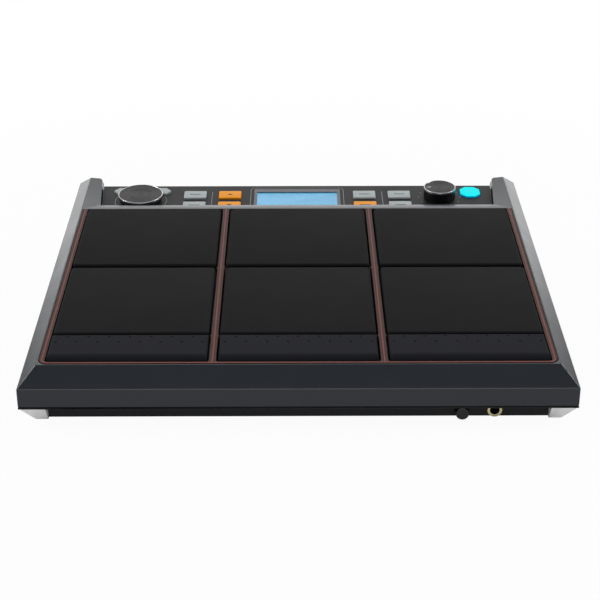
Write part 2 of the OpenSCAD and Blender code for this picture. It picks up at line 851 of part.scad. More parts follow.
// Plain key at (u, v)
module key_at(u, v) {
    deck() {
        translate([u, v, panel_under])
            soft_block(key_w, key_d, panel_t + key_rise, key_corner_r, key_edge_r);
        translate([u, v, panel_under - key_flange_t]) linear_extrude(key_flange_t) key_2d(key_flange);
        key_plunger(u, v);
    }
}

module key_left_outer_rear() { color(key_grey) key_at(key_places[0][0], key_places[0][1]); }
module key_left_outer_front() { color(key_grey) key_at(key_places[1][0], key_places[1][1]); }
module key_up() { color(key_orange) key_at(key_places[2][0], key_places[2][1]); }
module key_down() { color(key_orange) key_at(key_places[3][0], key_places[3][1]); }
module key_right_inner_rear() { color(key_grey) key_at(key_places[4][0], key_places[4][1]); }
module key_right_inner_front() { color(key_orange) key_at(key_places[5][0], key_places[5][1]); }
module key_right_outer_rear() { color(key_grey) key_at(key_places[6][0], key_places[6][1]); }
module key_right_outer_front() { color(key_grey) key_at(key_places[7][0], key_places[7][1]); }

// Lit eight-sided power button
module power_button() {
    color("#19e6ee") deck() {
        translate([power_u, power_v, panel_under]) linear_extrude(panel_t + key_rise) power_2d(0);
        translate([power_u, power_v, panel_under - key_flange_t])
            linear_extrude(key_flange_t) power_2d(key_flange);
        key_plunger(power_u, power_v);
    }
}

// Wing-shaped key behind the left of the dial
module dial_key() {
    translate([0, 0, panel_under]) linear_extrude(panel_t + key_rise) dial_key_2d(0);
    translate([0, 0, panel_under - key_flange_t]) linear_extrude(key_flange_t) dial_key_2d(key_flange);
    key_plunger(-dial_key_switch_u, dial_key_switch_v);
}
module dial_key_left() {
    color(key_grey) deck() dial_key();
}
module dial_key_right() {
    color(key_grey) deck() other_side_of_dial() dial_key();
}

// Openings in the panel for keys, display, dials and power button
module panel_holes_2d() {
    for (p = key_places) {
        translate(p) key_2d(key_gap);
    }
    translate([power_u, power_v]) power_2d(key_gap);
    dial_key_2d(key_gap);
    other_side_of_dial() dial_key_2d(key_gap);
    translate([0, bezel_v]) square([bezel_w, bezel_d] + [2, 2] * fit_gap, center = true);
    translate([-dial_u, dial_v]) circle(control_bush_r + bush_hole_gap);
    translate([knob_u, knob_v]) circle(control_bush_r + bush_hole_gap);
}

// Control panel: flared plate with openings and board bosses
module control_panel() {
    color("#45464a") deck() difference() {
        union() {
            translate([0, 0, panel_under]) linear_extrude(panel_t) difference() {
                recess_2d(-panel_side_gap, panel_v0 + panel_gap, deck_l + panel_gap);
                panel_holes_2d();
            }
            for (p = panel_boss_places) {
                translate([p[0], p[1], panel_pcb_top])
                    cylinder(r = panel_boss_r, h = panel_boss_h + fit_gap);
            }
        }
        for (p = panel_boss_places) {
            translate([p[0], p[1], panel_pcb_top - 1])
                cylinder(r = screw_r + fit_gap, h = screw_l - pcb_t + 1);
        }
    }
}

// Circuit board behind the panel
module panel_pcb() {
    v0 = panel_v0 + panel_pcb_margin;
    v1 = deck_l - panel_pcb_margin - wall;
    color("#1f5a3a") deck() difference() {
        translate([-panel_pcb_half, v0, panel_pcb_top - pcb_t]) cube([2 * panel_pcb_half, v1 - v0, pcb_t]);
        for (p = panel_boss_places) {
            translate([p[0], p[1], panel_pcb_top - 2 * pcb_t])
                cylinder(r = screw_r + jack_hole_gap, h = 3 * pcb_t);
        }
    }
}

// Screws that hold the board to the panel's bosses
module panel_screws() {
    color("silver") deck() for (p = panel_boss_places) {
        translate([p[0], p[1], panel_pcb_top - pcb_t]) screw(screw_l - 1);
    }
}

// Push switches under the keys, drawn at their pressed height
module tact_switches() {
    places = concat(key_places, [
        [power_u, power_v],
        [-dial_key_switch_u, dial_key_switch_v],
        [dial_key_switch_u - 2 * dial_u, dial_key_switch_v]
    ]);
    color("#2b2b2d") deck() for (p = places) {
        translate([p[0], p[1], panel_pcb_top]) {
            translate([-switch_body / 2, -switch_body / 2, 0])
                cube([switch_body, switch_body, switch_body_h]);
            cylinder(r = switch_stem_r, h = switch_top - panel_pcb_top);
        }
    }
}

// Grey bezel of the display, with a flange under the panel and a rebate for the window
module lcd_bezel() {
    top = panel_w + bezel_rise;
    low = panel_under - bezel_flange_t;
    rebate = [screen_w, screen_d] + [2, 2] * lcd_window_lip;
    color("#7d7c85") deck() difference() {
        union() {
            translate([0, bezel_v, low]) linear_extrude(top - low)
                square([bezel_w, bezel_d], center = true);
            translate([0, bezel_v, low]) linear_extrude(bezel_flange_t)
                square([bezel_w + 2 * bezel_flange, bezel_d + 2 * bezel_flange_d], center = true);
        }
        translate([0, screen_v, low - 1]) linear_extrude(past) square([screen_w, screen_d], center = true);
        translate([0, screen_v, low - 1]) linear_extrude(top - lcd_window_depth - low + 1)
            square(rebate + [2, 2] * fit_gap, center = true);
    }
}

// Clear window in the bezel
module lcd_window() {
    color("#9fd4f5") deck() translate([0, screen_v, panel_w + bezel_rise - lcd_window_depth - lcd_window_t])
        linear_extrude(lcd_window_t) square([screen_w, screen_d] + [2, 2] * lcd_window_lip, center = true);
}

// Display module between the window and the board
module lcd_module() {
    top = panel_w + bezel_rise - lcd_window_depth - lcd_window_t;
    color("#7cc4f5") deck() translate([0, screen_v, panel_pcb_top]) linear_extrude(top - panel_pcb_top)
        square([screen_w, screen_d] + [1, 1] * lcd_window_lip, center = true);
}

// Puts its children on the panel's face at the jog dial, or at the volume knob
module at_dial() {
    deck() translate([-dial_u, dial_v, panel_w]) children();
}
module at_knob() {
    deck() translate([knob_u, knob_v, panel_w]) children();
}

// Turned body with a hollow underside, a hub for the shaft and a seat for its ring and cap
module turned_body(r, foot_r, h, ring_h) {
    seat = h - ring_h;
    roof = seat - dial_roof;
    rotate_extrude() polygon([
        [shaft_r + fit_gap, hub_z], [dial_hub_r, hub_z], [dial_hub_r, roof], [foot_r - dial_shell, roof],
        [foot_r - dial_shell, turn_gap], [foot_r, turn_gap], [r, seat], [shaft_r + fit_gap, seat]
    ]);
}

// Bright ring round the top of a dial
module top_ring(r, h, ring_h) {
    rotate_extrude() polygon([
        [r - dial_ring_w, h - ring_h], [r, h - ring_h], [r, h - ring_edge],
        [r - ring_edge, h], [r - dial_ring_w, h]
    ]);
}

// Spun cap inside the ring, a little dished
module top_cap(r, h, ring_h) {
    rim_r = r - dial_ring_w - fit_gap;
    rotate_extrude() polygon([
        [0, h - ring_h], [rim_r, h - ring_h], [rim_r, h - cap_sink], [0, h - cap_sink - cap_dish]
    ]);
}

// Shaft from inside the control up to just under the cap
module control_shaft(h, ring_h) {
    translate([0, 0, control_bore_z + 0.3]) cylinder(r = shaft_r, h = h - ring_h - control_bore_z - 0.6);
}

// Control on the board with its bush through the panel
module control_can() {
    difference() {
        union() {
            translate([-control_body / 2, -control_body / 2, control_low])
                cube([control_body, control_body, control_body_h]);
            translate([0, 0, control_low])
                cylinder(r = control_bush_r, h = control_bush_rise - control_low);
        }
        translate([0, 0, control_bore_z]) cylinder(r = shaft_r + shaft_clearance, h = past);
    }
}

module jog_dial() {
    color("#17181a") at_dial() turned_body(dial_r - 0.4, dial_r - 1.2, dial_h, dial_ring_h);
}
module jog_dial_ring() { color("silver") at_dial() top_ring(dial_r, dial_h, dial_ring_h); }
module jog_dial_cap() { color("#4a4a4c") at_dial() top_cap(dial_r, dial_h, dial_ring_h); }
module jog_encoder_shaft() { color("silver") at_dial() control_shaft(dial_h, dial_ring_h); }
module jog_encoder_body() { color("gray") at_dial() control_can(); }

module volume_knob() { color("#17181a") at_knob() turned_body(knob_r - 0.3, knob_r, knob_h, dial_ring_h); }
module volume_knob_ring() { color("silver") at_knob() top_ring(knob_r, knob_h, dial_ring_h); }
module volume_pot_shaft() { color("silver") at_knob() control_shaft(knob_h, dial_ring_h); }
module volume_pot_body() { color("gray") at_knob() control_can(); }

// Spun cap of the volume knob with its pointer groove on the left
module volume_knob_cap() {
    color("#4a4a4c") at_knob() difference() {
        top_cap(knob_r, knob_h, dial_ring_h);
        translate([-knob_r + dial_ring_w + 1, -pointer_w / 2, knob_h - cap_sink - cap_dish - pointer_depth])
            cube([pointer_l, pointer_w, past]);
    }
}

// Puts its children on the face of the tub's front wall, z axis pointing to the player
module at_front(x) {
    translate([x, tub_y0, phones_z]) rotate([90, 0, 0]) children();
}

// Phones level knob with a finger-grip taper
module phones_knob() {
    color("#1a1a1c") at_front(phones_knob_x) rotate_extrude() polygon([
        [0, turn_gap + 4], [pot_shaft_r + fit_gap, turn_gap + 4], [pot_shaft_r + fit_gap, turn_gap + 2],
        [pot_bush_r + 0.5, turn_gap + 2], [pot_bush_r + 0.5, turn_gap], [phones_knob_r, turn_gap],
        [phones_knob_r - 0.3, turn_gap + phones_knob_l - 0.8],
        [phones_knob_r - 1.1, turn_gap + phones_knob_l], [0, turn_gap + phones_knob_l]
    ]);
}

module phones_pot_shaft() {
    color("silver") at_front(phones_knob_x) translate([0, 0, -tub_wall - 4])
        cylinder(r = pot_shaft_r, h = tub_wall + 4 + turn_gap + 3.8);
}

module phones_pot_body() {
    color("gray") at_front(phones_knob_x) difference() {
        union() {
            translate([-pot_body[0] / 2, -pot_drop, -tub_wall - pot_body[1]])
                cube([pot_body[0], pot_drop + front_jack_high, pot_body[1]]);
            translate([0, 0, -tub_wall - 1]) cylinder(r = pot_bush_r, h = tub_wall + 2.2);
        }
        translate([0, 0, -tub_wall - 4.3]) cylinder(r = pot_shaft_r + shaft_clearance, h = past);
    }
}

// Quarter inch socket: body from low to high beside its axis, and a neck through a wall of thickness t
module jack_socket(low, high, t) {
    difference() {
        union() {
            translate([-jack_half, -low, -t - jack_l]) cube([2 * jack_half, low + high, jack_l]);
            translate([0, 0, -t - 1]) cylinder(r = jack_thread_r, h = t + 1 + jack_nut_t);
        }
        translate([0, 0, 1 - t - jack_l]) cylinder(r = jack_bore_r, h = past);
    }
}

// Ring nut that clamps a socket to its wall
module jack_nut() {
    difference() {
        cylinder(r = jack_nut_r, h = jack_nut_t);
        translate([0, 0, -1]) cylinder(r = jack_thread_r + fit_gap, h = jack_nut_t + 2);
    }
}

module phones_jack() {
    color("#202022") at_front(phones_x) jack_socket(front_jack_low, front_jack_high, tub_wall);
}
module phones_jack_nut() { color("#d8b25a") at_front(phones_x) jack_nut(); }

// Board over the phones socket and its level control
module front_jack_pcb() {
    x0 = phones_knob_x - pot_body[0];
    x1 = phones_x + 2 * jack_half;
    color("#1f5a3a") translate([x0, tub_y0 + tub_wall + 1, phones_z + front_jack_high])
        cube([x1 - x0, jack_l, pcb_t]);
}

// Puts its children on the rear wall's face, z axis pointing to the back
module at_rear(x, z) {
    translate([x, bay_y, z]) rotate([-90, 0, 0]) children();
}

module rear_jacks() {
    color("#202022") for (x = rear_jack_x) {
        at_rear(x, rear_jack_z) jack_socket(jack_half, jack_half, wall);
    }
}
module rear_jack_nuts() {
    color("silver") for (x = rear_jack_x) {
        at_rear(x, rear_jack_z) jack_nut();
    }
}

// Square data socket with its tongue
module usb_socket() {
    z0 = rear_pcb_z + usb_size[2] / 2;
    color("silver") translate([usb_x, bay_y + usb_rise, z0]) {
        difference() {
            translate([-usb_size[0] / 2, -usb_size[1], -usb_size[2] / 2]) cube(usb_size);
            translate([-usb_slot[0] / 2, -usb_slot[1], -usb_slot[2] / 2]) cube(usb_slot + [0, 1, 0]);
        }
    }
}

// Round power inlet with its centre pin
module dc_inlet() {
    z0 = rear_pcb_z + dc_size[2] / 2;
    color("#202022") translate([dc_x, bay_y - wall, z0]) {
        difference() {
            union() {
                translate([-dc_size[0] / 2, -dc_size[1], -dc_size[2] / 2]) cube(dc_size);
                backwards(-1, wall) circle(dc_ring_r);
            }
            backwards(2 - dc_size[1], wall + 1) circle(dc_bore_r);
        }
        backwards(1 - dc_size[1], 0) circle(dc_pin_r);
    }
}

// Board that carries the rear sockets
module rear_jack_pcb() {
    x0 = rear_jack_x[0] - 2 * jack_half;
    x1 = dc_x + 2 * jack_half;
    color("#1f5a3a") translate([x0, bay_y - wall - jack_l - 1, rear_pcb_z - pcb_t])
        cube([x1 - x0, jack_l, pcb_t]);
}

// Main board on its posts, with its chips and capacitors
module main_pcb() {
    color("#1f5a3a") difference() {
        translate([-main_pcb_w / 2, main_pcb_y - main_pcb_d / 2, main_pcb_z]) {
            cube([main_pcb_w, main_pcb_d, pcb_t]);
            for (i = [-1:1]) {
                translate([main_pcb_w / 2 + i * chip_pitch - chip_w / 2, (main_pcb_d - chip_w) / 2, pcb_t])
                    cube([chip_w, chip_w, chip_h]);
                translate([main_pcb_w / 2 + i * chip_pitch, main_pcb_d - chip_pitch, pcb_t])
                    cylinder(r = can_r, h = can_h);
            }
        }
        for (p = main_posts) {
            translate([p[0], p[1], main_pcb_z - 1]) cylinder(r = screw_r + jack_hole_gap, h = 2 * pcb_t);
        }
    }
}

// Screws of the main board, heads up
module pcb_screws() {
    color("silver") for (p = main_posts) {
        translate([p[0], p[1], main_pcb_z + pcb_t]) mirror([0, 0, 1]) screw(screw_l - 1);
    }
}

top_case();
bottom_case();
control_panel();
trim_frame();
light_guide();
pad_1();
pad_2();
pad_3();
pad_4();
pad_5();
pad_6();
edge_bar_1();
edge_bar_2();
edge_bar_3();
pad_plates();
piezo_discs();
pad_foams();
jog_dial();
jog_dial_ring();
jog_dial_cap();
jog_encoder_shaft();
jog_encoder_body();
volume_knob();
volume_knob_ring();
volume_knob_cap();
volume_pot_shaft();
volume_pot_body();
phones_knob();
phones_pot_shaft();
phones_pot_body();
dial_key_left();
dial_key_right();
key_left_outer_rear();
key_left_outer_front();
key_up();
key_down();
key_right_inner_rear();
key_right_inner_front();
key_right_outer_rear();
key_right_outer_front();
power_button();
tact_switches();
lcd_bezel();
lcd_window();
lcd_module();
panel_pcb();
main_pcb();
phones_jack();
phones_jack_nut();
front_jack_pcb();
rear_jacks();
rear_jack_nuts();
usb_socket();
dc_inlet();
rear_jack_pcb();
corner_feet();
case_screws();
panel_screws();
pcb_screws();
threaded_inserts();
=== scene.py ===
import math

import bmesh
import bpy
import numpy as np
from mathutils import Matrix


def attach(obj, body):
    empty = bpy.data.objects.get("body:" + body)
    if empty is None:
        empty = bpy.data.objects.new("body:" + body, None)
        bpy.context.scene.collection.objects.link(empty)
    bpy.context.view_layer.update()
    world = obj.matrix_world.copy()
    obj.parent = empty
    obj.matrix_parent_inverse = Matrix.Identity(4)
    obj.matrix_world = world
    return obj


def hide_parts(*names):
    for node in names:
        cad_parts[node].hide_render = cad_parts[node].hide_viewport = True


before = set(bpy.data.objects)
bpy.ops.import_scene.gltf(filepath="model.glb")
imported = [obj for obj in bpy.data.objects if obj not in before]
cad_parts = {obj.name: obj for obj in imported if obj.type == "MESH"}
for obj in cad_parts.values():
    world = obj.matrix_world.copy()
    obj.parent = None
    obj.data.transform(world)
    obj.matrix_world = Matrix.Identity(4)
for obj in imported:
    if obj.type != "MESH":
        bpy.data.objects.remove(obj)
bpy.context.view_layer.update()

# Studio. The part stands on a white floor in a white room that is bright at the back and dim behind the
# camera, under four soft lamps: one above, one on each side and one in front. The camera stands where
# the photograph was taken from.
MM = 0.001
DECK_TILT = math.radians(6)
DECK_Y, DECK_Z = -151.778, 39.9
CAMERA_AIM = np.array([1.35, 86.33, 0.0])
CAMERA_DISTANCE = 1008.0
CAMERA_PITCH, CAMERA_YAW = 0.5085, -0.0051
CAMERA_LENS, CAMERA_FILM = 85.75, 36.0


def on_deck(u, v, w):
    """Place on the tilted deck, in metres: u to the right, v back from its front edge and w square to it, in mm."""
    y = DECK_Y + v * math.cos(DECK_TILT) - w * math.sin(DECK_TILT)
    z = DECK_Z + v * math.sin(DECK_TILT) + w * math.cos(DECK_TILT)
    return np.stack(np.broadcast_arrays(u, y, z), axis=-1) * MM


deck_normal = (on_deck(0.0, 0.0, 1.0) - on_deck(0.0, 0.0, 0.0)) / MM
camera_back = np.array([
    math.sin(CAMERA_YAW) * math.cos(CAMERA_PITCH),
    -math.cos(CAMERA_YAW) * math.cos(CAMERA_PITCH),
    math.sin(CAMERA_PITCH),
])
eye = on_deck(*(CAMERA_AIM + CAMERA_DISTANCE * camera_back))


def looking(place, target, upright):
    """World matrix of a lamp or camera at place that looks at target: its z axis points away from the target."""
    back = (place - target) / np.linalg.norm(place - target)
    right = np.cross(upright, back)
    right /= np.linalg.norm(right)
    turn = np.eye(4)
    turn[:3] = np.column_stack([right, np.cross(back, right), back, place])
    return Matrix(turn.tolist())


camera = bpy.data.objects.new("camera", bpy.data.cameras.new("camera"))
camera.data.lens = CAMERA_LENS
camera.data.sensor_width = CAMERA_FILM
camera.matrix_world = looking(eye, on_deck(*CAMERA_AIM), deck_normal)
bpy.context.collection.objects.link(camera)
bpy.context.scene.camera = camera
bpy.context.scene.view_settings.view_transform = "Standard"


def softbox(name, place, target, size, watts):
    """Rectangular soft lamp at place, turned to its target; size is across and up, in metres."""
    lamp = bpy.data.lights.new(name, "AREA")
    lamp.shape = "RECTANGLE"
    lamp.size, lamp.size_y = size
    lamp.energy = watts
    holder = bpy.data.objects.new(name, lamp)
    upright = np.array([0.0, 0.01, 1.0])
    holder.matrix_world = looking(np.array(place), np.array(target), upright)
    bpy.context.collection.objects.link(holder)


softbox("lamp_above", place=(0.0, 0.9, 1.5), target=(0.0, 0.0, 0.05), size=(1.8, 1.2), watts=4.0)
for side, name in ((-1, "left"), (1, "right")):
    softbox(f"lamp_{name}", place=(side * 1.35, 0.12, 0.95), target=(side * 0.1, -0.1, 0.03),
            size=(0.6, 0.5), watts=9.0)
softbox("lamp_front", place=(0.0, -2.2, 0.5), target=(0.0, -0.1, 0.0), size=(2.0, 0.8), watts=10.0)


class Wire:
    """A socket of a finish: arithmetic on wires and numbers adds the Math nodes that work it out."""

    def __init__(self, tree, socket=None):
        self.tree = tree
        self.socket = socket

    def add(self, kind, settings, inputs, output=0):
        """Adds a node of any kind: its settings come first, then a value or a wire for each named input."""
        node = self.tree.nodes.new("ShaderNode" + kind)
        for name, value in settings.items():
            setattr(node, name, value)
        for name, value in inputs.items():
            if isinstance(value, Wire):
                self.tree.links.new(value.socket, node.inputs[name])
            else:
                node.inputs[name].default_value = value
        return Wire(self.tree, node.outputs[output])

    def math(self, operation, *terms):
        """Math node on numbers and wires."""
        return self.add("Math", {"operation": operation}, dict(enumerate(terms)))

    def __add__(self, other):
        return self.math("ADD", self, other)

    def __sub__(self, other):
        return self.math("SUBTRACT", self, other)

    def __rsub__(self, other):
        return self.math("SUBTRACT", other, self)

    def __mul__(self, other):
        return self.math("MULTIPLY", self, other)

    def __truediv__(self, other):
        return self.math("DIVIDE", self, other)

    __radd__ = __add__
    __rmul__ = __mul__

    def ease(self, low, high):
        """Smooth rise from 0 where this wire is low to 1 where it is high."""
        settings = {"interpolation_type": "SMOOTHSTEP"}
        return self.add("MapRange", settings, {"Value": self, "From Min": low, "From Max": high})

    def between(self, first, second):
        """Colour between two colours, with this wire as the share of the second."""
        return self.add("Mix", {"data_type": "RGBA"}, {0: self, 6: first, 7: second}, 2)

    def to(self, node, name):
        """Feeds this wire to an input of a node."""
        self.tree.links.new(self.socket, node.inputs[name])


ROOM_DIM, ROOM_BACK, ROOM_FADE = 0.17, 0.3, (-0.25, 0.8)
UPPER_GLOW, UPPER_FADE = 0.8, (0.45, 0.8)
LOWER_GLOW, LOWER_FADE = 0.9, (0.1, 0.4)
BACKDROP_FADE, BACKDROP_SIDES = (0.3, 0.8), (0.3, 0.55)
WHITE, BLACK = (1.0, 1.0, 1.0, 1.0), (0.0, 0.0, 0.0, 1.0)
world = bpy.data.worlds.new("white_room")
world.use_nodes = True
bpy.context.scene.world = world
background = world.node_tree.nodes["Background"]
background.inputs["Color"].default_value = WHITE
room = Wire(world.node_tree)
direction = room.add("TexCoord", {}, {}, "Generated")
towards_back = room.add("SeparateXYZ", {}, {"Vector": direction}, "Y")
upwards = room.add("SeparateXYZ", {}, {"Vector": direction}, "Z")
aside = room.math("ABSOLUTE", room.add("SeparateXYZ", {}, {"Vector": direction}, "X"))
room_seen = room.add("LightPath", {}, {}, "Is Camera Ray")
backdrop = UPPER_GLOW * (1.0 - upwards.ease(*UPPER_FADE)) + LOWER_GLOW * (1.0 - upwards.ease(*LOWER_FADE))
backdrop = backdrop * towards_back.ease(*BACKDROP_FADE) * (1.0 - aside.ease(*BACKDROP_SIDES))
lit = ROOM_DIM + ROOM_BACK * towards_back.ease(*ROOM_FADE) + backdrop
(room_seen + (1.0 - room_seen) * lit).to(background, "Strength")


def started(name, **sockets):
    """New finish with those values on its shader: the material, the shader, a wire to add nodes with, and
    the place on the piece."""
    material = bpy.data.materials.new(name)
    material.use_nodes = True
    shader = material.node_tree.nodes["Principled BSDF"]
    for socket, value in sockets.items():
        shader.inputs[socket.replace("_", " ")].default_value = value
    wire = Wire(material.node_tree)
    return material, shader, wire, wire.add("TexCoord", {}, {}, "Object")


# The floor is white paper to the camera. In the part's gloss it is a gradient, bright behind the part and
# pale in front of it, and from below it is clear.
FLOOR_REACH, FLOOR_WHITE, FLOOR_ROUGH = 4.0, (0.86, 0.86, 0.86, 1.0), 0.9
FLOOR_GLOW, FLOOR_AWAY = 0.95, (0.3, 0.9)
MIRROR_DIM, MIRROR_PEAK = 0.1, 3.0
MIRROR_FRONT, FRONT_FADE = 0.47, (-0.12, -0.18)
MIRROR_BACK, BACK_FADE = 2.4, (0.12, 0.6)
floor_mesh = bpy.data.meshes.new("floor")
floor_corners = np.array([[-1, -1, 0], [1, -1, 0], [1, 1, 0], [-1, 1, 0]]) * FLOOR_REACH
floor_mesh.from_pydata(floor_corners.tolist(), [], [[0, 1, 2, 3]])
floor = bpy.data.objects.new("floor", floor_mesh)
bpy.context.collection.objects.link(floor)
floor_paint, matt, paint, spot = started("floor_paint", Base_Color=FLOOR_WHITE, Roughness=FLOOR_ROUGH,
                                         Specular_IOR_Level=0.0)
back = paint.add("SeparateXYZ", {}, {"Vector": spot}, "Y")
away = paint.add("VectorMath", {"operation": "LENGTH"}, {0: spot}, "Value").ease(*FLOOR_AWAY)
rays = {kind: paint.add("LightPath", {}, {}, f"Is {kind} Ray") for kind in ("Camera", "Transmission", "Glossy")}
floor_seen = rays["Camera"] + rays["Transmission"]
glow_share = floor_seen * (FLOOR_GLOW + (1.0 - FLOOR_GLOW) * away) + rays["Glossy"]
mirrored = MIRROR_DIM + MIRROR_FRONT * back.ease(*FRONT_FADE) + MIRROR_BACK * back.ease(*BACK_FADE)
level = (floor_seen + (1.0 - floor_seen) * mirrored) / MIRROR_PEAK
peak = (MIRROR_PEAK, MIRROR_PEAK, MIRROR_PEAK, 1.0)
glow = paint.add("Emission", {}, {"Color": level.between(BLACK, peak)})
matt_wire = Wire(floor_paint.node_tree, matt.outputs["BSDF"])
topside = paint.add("MixShader", {}, {0: glow_share, 1: matt_wire, 2: glow})
clear = paint.add("BsdfTransparent", {}, {})
below = paint.add("NewGeometry", {}, {}, "Backfacing")
floor_output = floor_paint.node_tree.nodes["Material Output"]
paint.add("MixShader", {}, {0: below, 1: topside, 2: clear}).to(floor_output, "Surface")
floor_mesh.materials.append(floor_paint)

# Bottom case: a black injection moulding with a thin lip under the top case and a set-back tub.
# Its outside is spark-eroded, so it is matt, and its long edges have a small moulded radius.
BOTTOM_BLACK = (0.007, 0.0075, 0.0095)
BOTTOM_EDGE = 0.5
FLOW_SCALE, FLOW_SHARE, SPECK_SHARE, GLOSS_DRIFT = 45.0, 0.7, 0.3, 0.06


def shade(colour, share):
    """Colour made darker or lighter by a share, as a socket's four values."""
    return tuple(min(c * share, 1.0) for c in colour) + (1.0,)


def moulded(name, colour, rough, grain, depth, drift=0.08, **sockets):
    """Moulded finish: colour and gloss drift a little over centimetres, and a fine grain of that size
    and depth in mm is pressed into the face as bump."""
    material, shader, wire, place = started(name, **sockets)
    flow = wire.add("TexNoise", {}, {"Vector": place, "Scale": FLOW_SCALE, "Detail": 3.0})
    speck = wire.add("TexNoise", {}, {"Vector": place, "Scale": 1.0 / (grain * MM), "Detail": 2.0})
    tone = FLOW_SHARE * flow + SPECK_SHARE * speck
    dark, light = shade(colour, 1.0 - 2.0 * drift), shade(colour, 1.0 + 2.0 * drift)
    tone.between(dark, light).to(shader, "Base Color")
    (rough - GLOSS_DRIFT + 2.0 * GLOSS_DRIFT * tone).to(shader, "Roughness")
    wire.add("Bump", {}, {"Distance": depth * MM, "Height": speck}, "Normal").to(shader, "Normal")
    return material


def dress(node, material):
    """Puts a finish on every material slot of a CAD node."""
    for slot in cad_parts[node].material_slots:
        slot.material = material


FLAT_TURN, SHARP_TURN, SMOOTH_TURN = math.radians(0.4), math.radians(24), math.radians(30)
EDGE_SHARE, FACE_SHARE, LEAST_ROUND, ROUND_STEPS = 2.0, 3.0, 0.15, 3
SAME_PLACE = 1e-6


def width_at(line, face):
    """How wide a face is along one of its edges: the least distance from points on it to the sides that do
    not touch it, or, on a triangle, to the third corner."""
    start, stop = np.array([end.co for end in line.verts])
    spots = start + np.linspace(0.1, 0.9, 9)[:, None] * (stop - start)
    ends = set(line.verts)
    sides = [[end.co for end in side.verts] for side in face.edges if not ends & set(side.verts)]
    sides = sides or [[corner.co, corner.co] for corner in face.verts if corner not in ends]
    first, last = np.array(sides).transpose(1, 0, 2)
    run = last - first
    share = np.sum((spots[:, None] - first) * run, axis=-1) / np.maximum(np.sum(run * run, axis=-1), 1e-18)
    nearest = first + np.clip(share, 0.0, 1.0)[..., None] * run
    return np.linalg.norm(spots[:, None] - nearest, axis=-1).min()


def softened(node, piece, edge, material, body="case", long=2.5, redraw=None):
    """Copy of a CAD node with its triangles joined and its long sharp edges rounded by a bevel of edge mm,
    or less where the faces beside it are narrow; redraw may move some of its corners first."""
    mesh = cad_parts[node].data.copy()
    if redraw:
        points = np.empty(3 * len(mesh.vertices), np.float32)
        mesh.vertices.foreach_get("co", points)
        mesh.vertices.foreach_set("co", redraw(points.reshape(-1, 3)).ravel())
    if "custom_normal" in mesh.attributes:
        mesh.attributes.remove(mesh.attributes["custom_normal"])
    work = bmesh.new()
    work.from_mesh(mesh)
    bmesh.ops.remove_doubles(work, verts=work.verts, dist=SAME_PLACE)
    bmesh.ops.dissolve_limit(work, angle_limit=FLAT_TURN, verts=work.verts, edges=work.edges)
    weight = work.edges.layers.float.get("bevel_weight_edge") or work.edges.layers.float.new("bevel_weight_edge")
    for line in work.edges:
        faces = set(line.link_faces)
        sharp = len(faces) == 2 and line.calc_face_angle(0.0) > SHARP_TURN
        if sharp and line.calc_length() > long * MM:
            beside = min(other.calc_length() for end in line.verts for other in end.link_edges
                         if other is not line and faces & set(other.link_faces))
            narrow = min(width_at(line, face) for face in faces)
            fit = min(beside / EDGE_SHARE, narrow / FACE_SHARE) / (edge * MM)
            line[weight] = min(fit, 1.0) if fit > LEAST_ROUND else 0.0
    work.to_mesh(mesh)
    work.free()
    mesh.materials.clear()
    mesh.materials.append(material)
    mesh.shade_smooth()
    mesh.set_sharp_from_angle(angle=SMOOTH_TURN)
    copy = bpy.data.objects.new(piece, mesh)
    bpy.context.collection.objects.link(copy)
    bevel = copy.modifiers.new("rounded_edges", "BEVEL")
    bevel.limit_method = "WEIGHT"
    bevel.width = edge * MM
    bevel.segments = ROUND_STEPS
    bevel.use_clamp_overlap = False
    bevel.harden_normals = True
    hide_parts(node)
    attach(copy, body)


bottom_plastic = moulded("bottom_plastic", BOTTOM_BLACK, rough=0.62, grain=0.5, depth=0.03,
                         Specular_IOR_Level=0.32)
softened("bottom_case", "bottom_tub", BOTTOM_EDGE, bottom_plastic)

# Corner feet: four wedges of nearly white rubber, drawn in towards the table, each with a peg that
# presses into the lip of the bottom case.
FOOT_WHITE = (0.96, 0.95, 0.94)
FOOT_EDGE = 0.6
foot_rubber = moulded("foot_rubber", FOOT_WHITE, rough=0.7, grain=0.4, depth=0.02, drift=0.05)
softened("corner_feet", "corner_wedges", FOOT_EDGE, foot_rubber)

# Threaded inserts: four brass bushes pressed into the floor for a stand's clamp plate, cut with a
# thread of 1 mm pitch inside.
INSERT_BRASS = (0.62, 0.44, 0.15)
INSERT_PITCH = 1.0
STREAK_SCALE, STREAK_DARK, STREAK_LIGHT = 1800.0, 0.82, 1.12
STREAK_GLOSS, STREAK_HEIGHT, STREAK_DEPTH = 0.07, 0.02, 0.05


def metal(name, colour, rough, brush=(1.0, 1.0, 1.0), pitch=0.0):
    """Metal finish: streaks of fine noise, drawn out along the axes with a small brush value, move its
    colour and gloss; pitch in mm adds a thread up the z axis, as a zigzag bump of half that depth."""
    material, shader, wire, place = started(name, Metallic=1.0)
    drawn = wire.add("Mapping", {}, {"Vector": place, "Scale": brush})
    streak = wire.add("TexNoise", {}, {"Vector": drawn, "Scale": STREAK_SCALE, "Detail": 4.0})
    streak.between(shade(colour, STREAK_DARK), shade(colour, STREAK_LIGHT)).to(shader, "Base Color")
    (rough - STREAK_GLOSS + 2.0 * STREAK_GLOSS * streak).to(shader, "Roughness")
    height = STREAK_HEIGHT * streak
    if pitch:
        up = wire.add("SeparateXYZ", {}, {"Vector": place}, "Z")
        height = height + wire.math("PINGPONG", up, 0.5 * pitch * MM) / (pitch * MM)
    depth = max(pitch, STREAK_DEPTH) * MM
    wire.add("Bump", {}, {"Distance": depth, "Height": height}, "Normal").to(shader, "Normal")
    return material


dress("threaded_inserts", metal("insert_brass", INSERT_BRASS, rough=0.3, pitch=INSERT_PITCH))

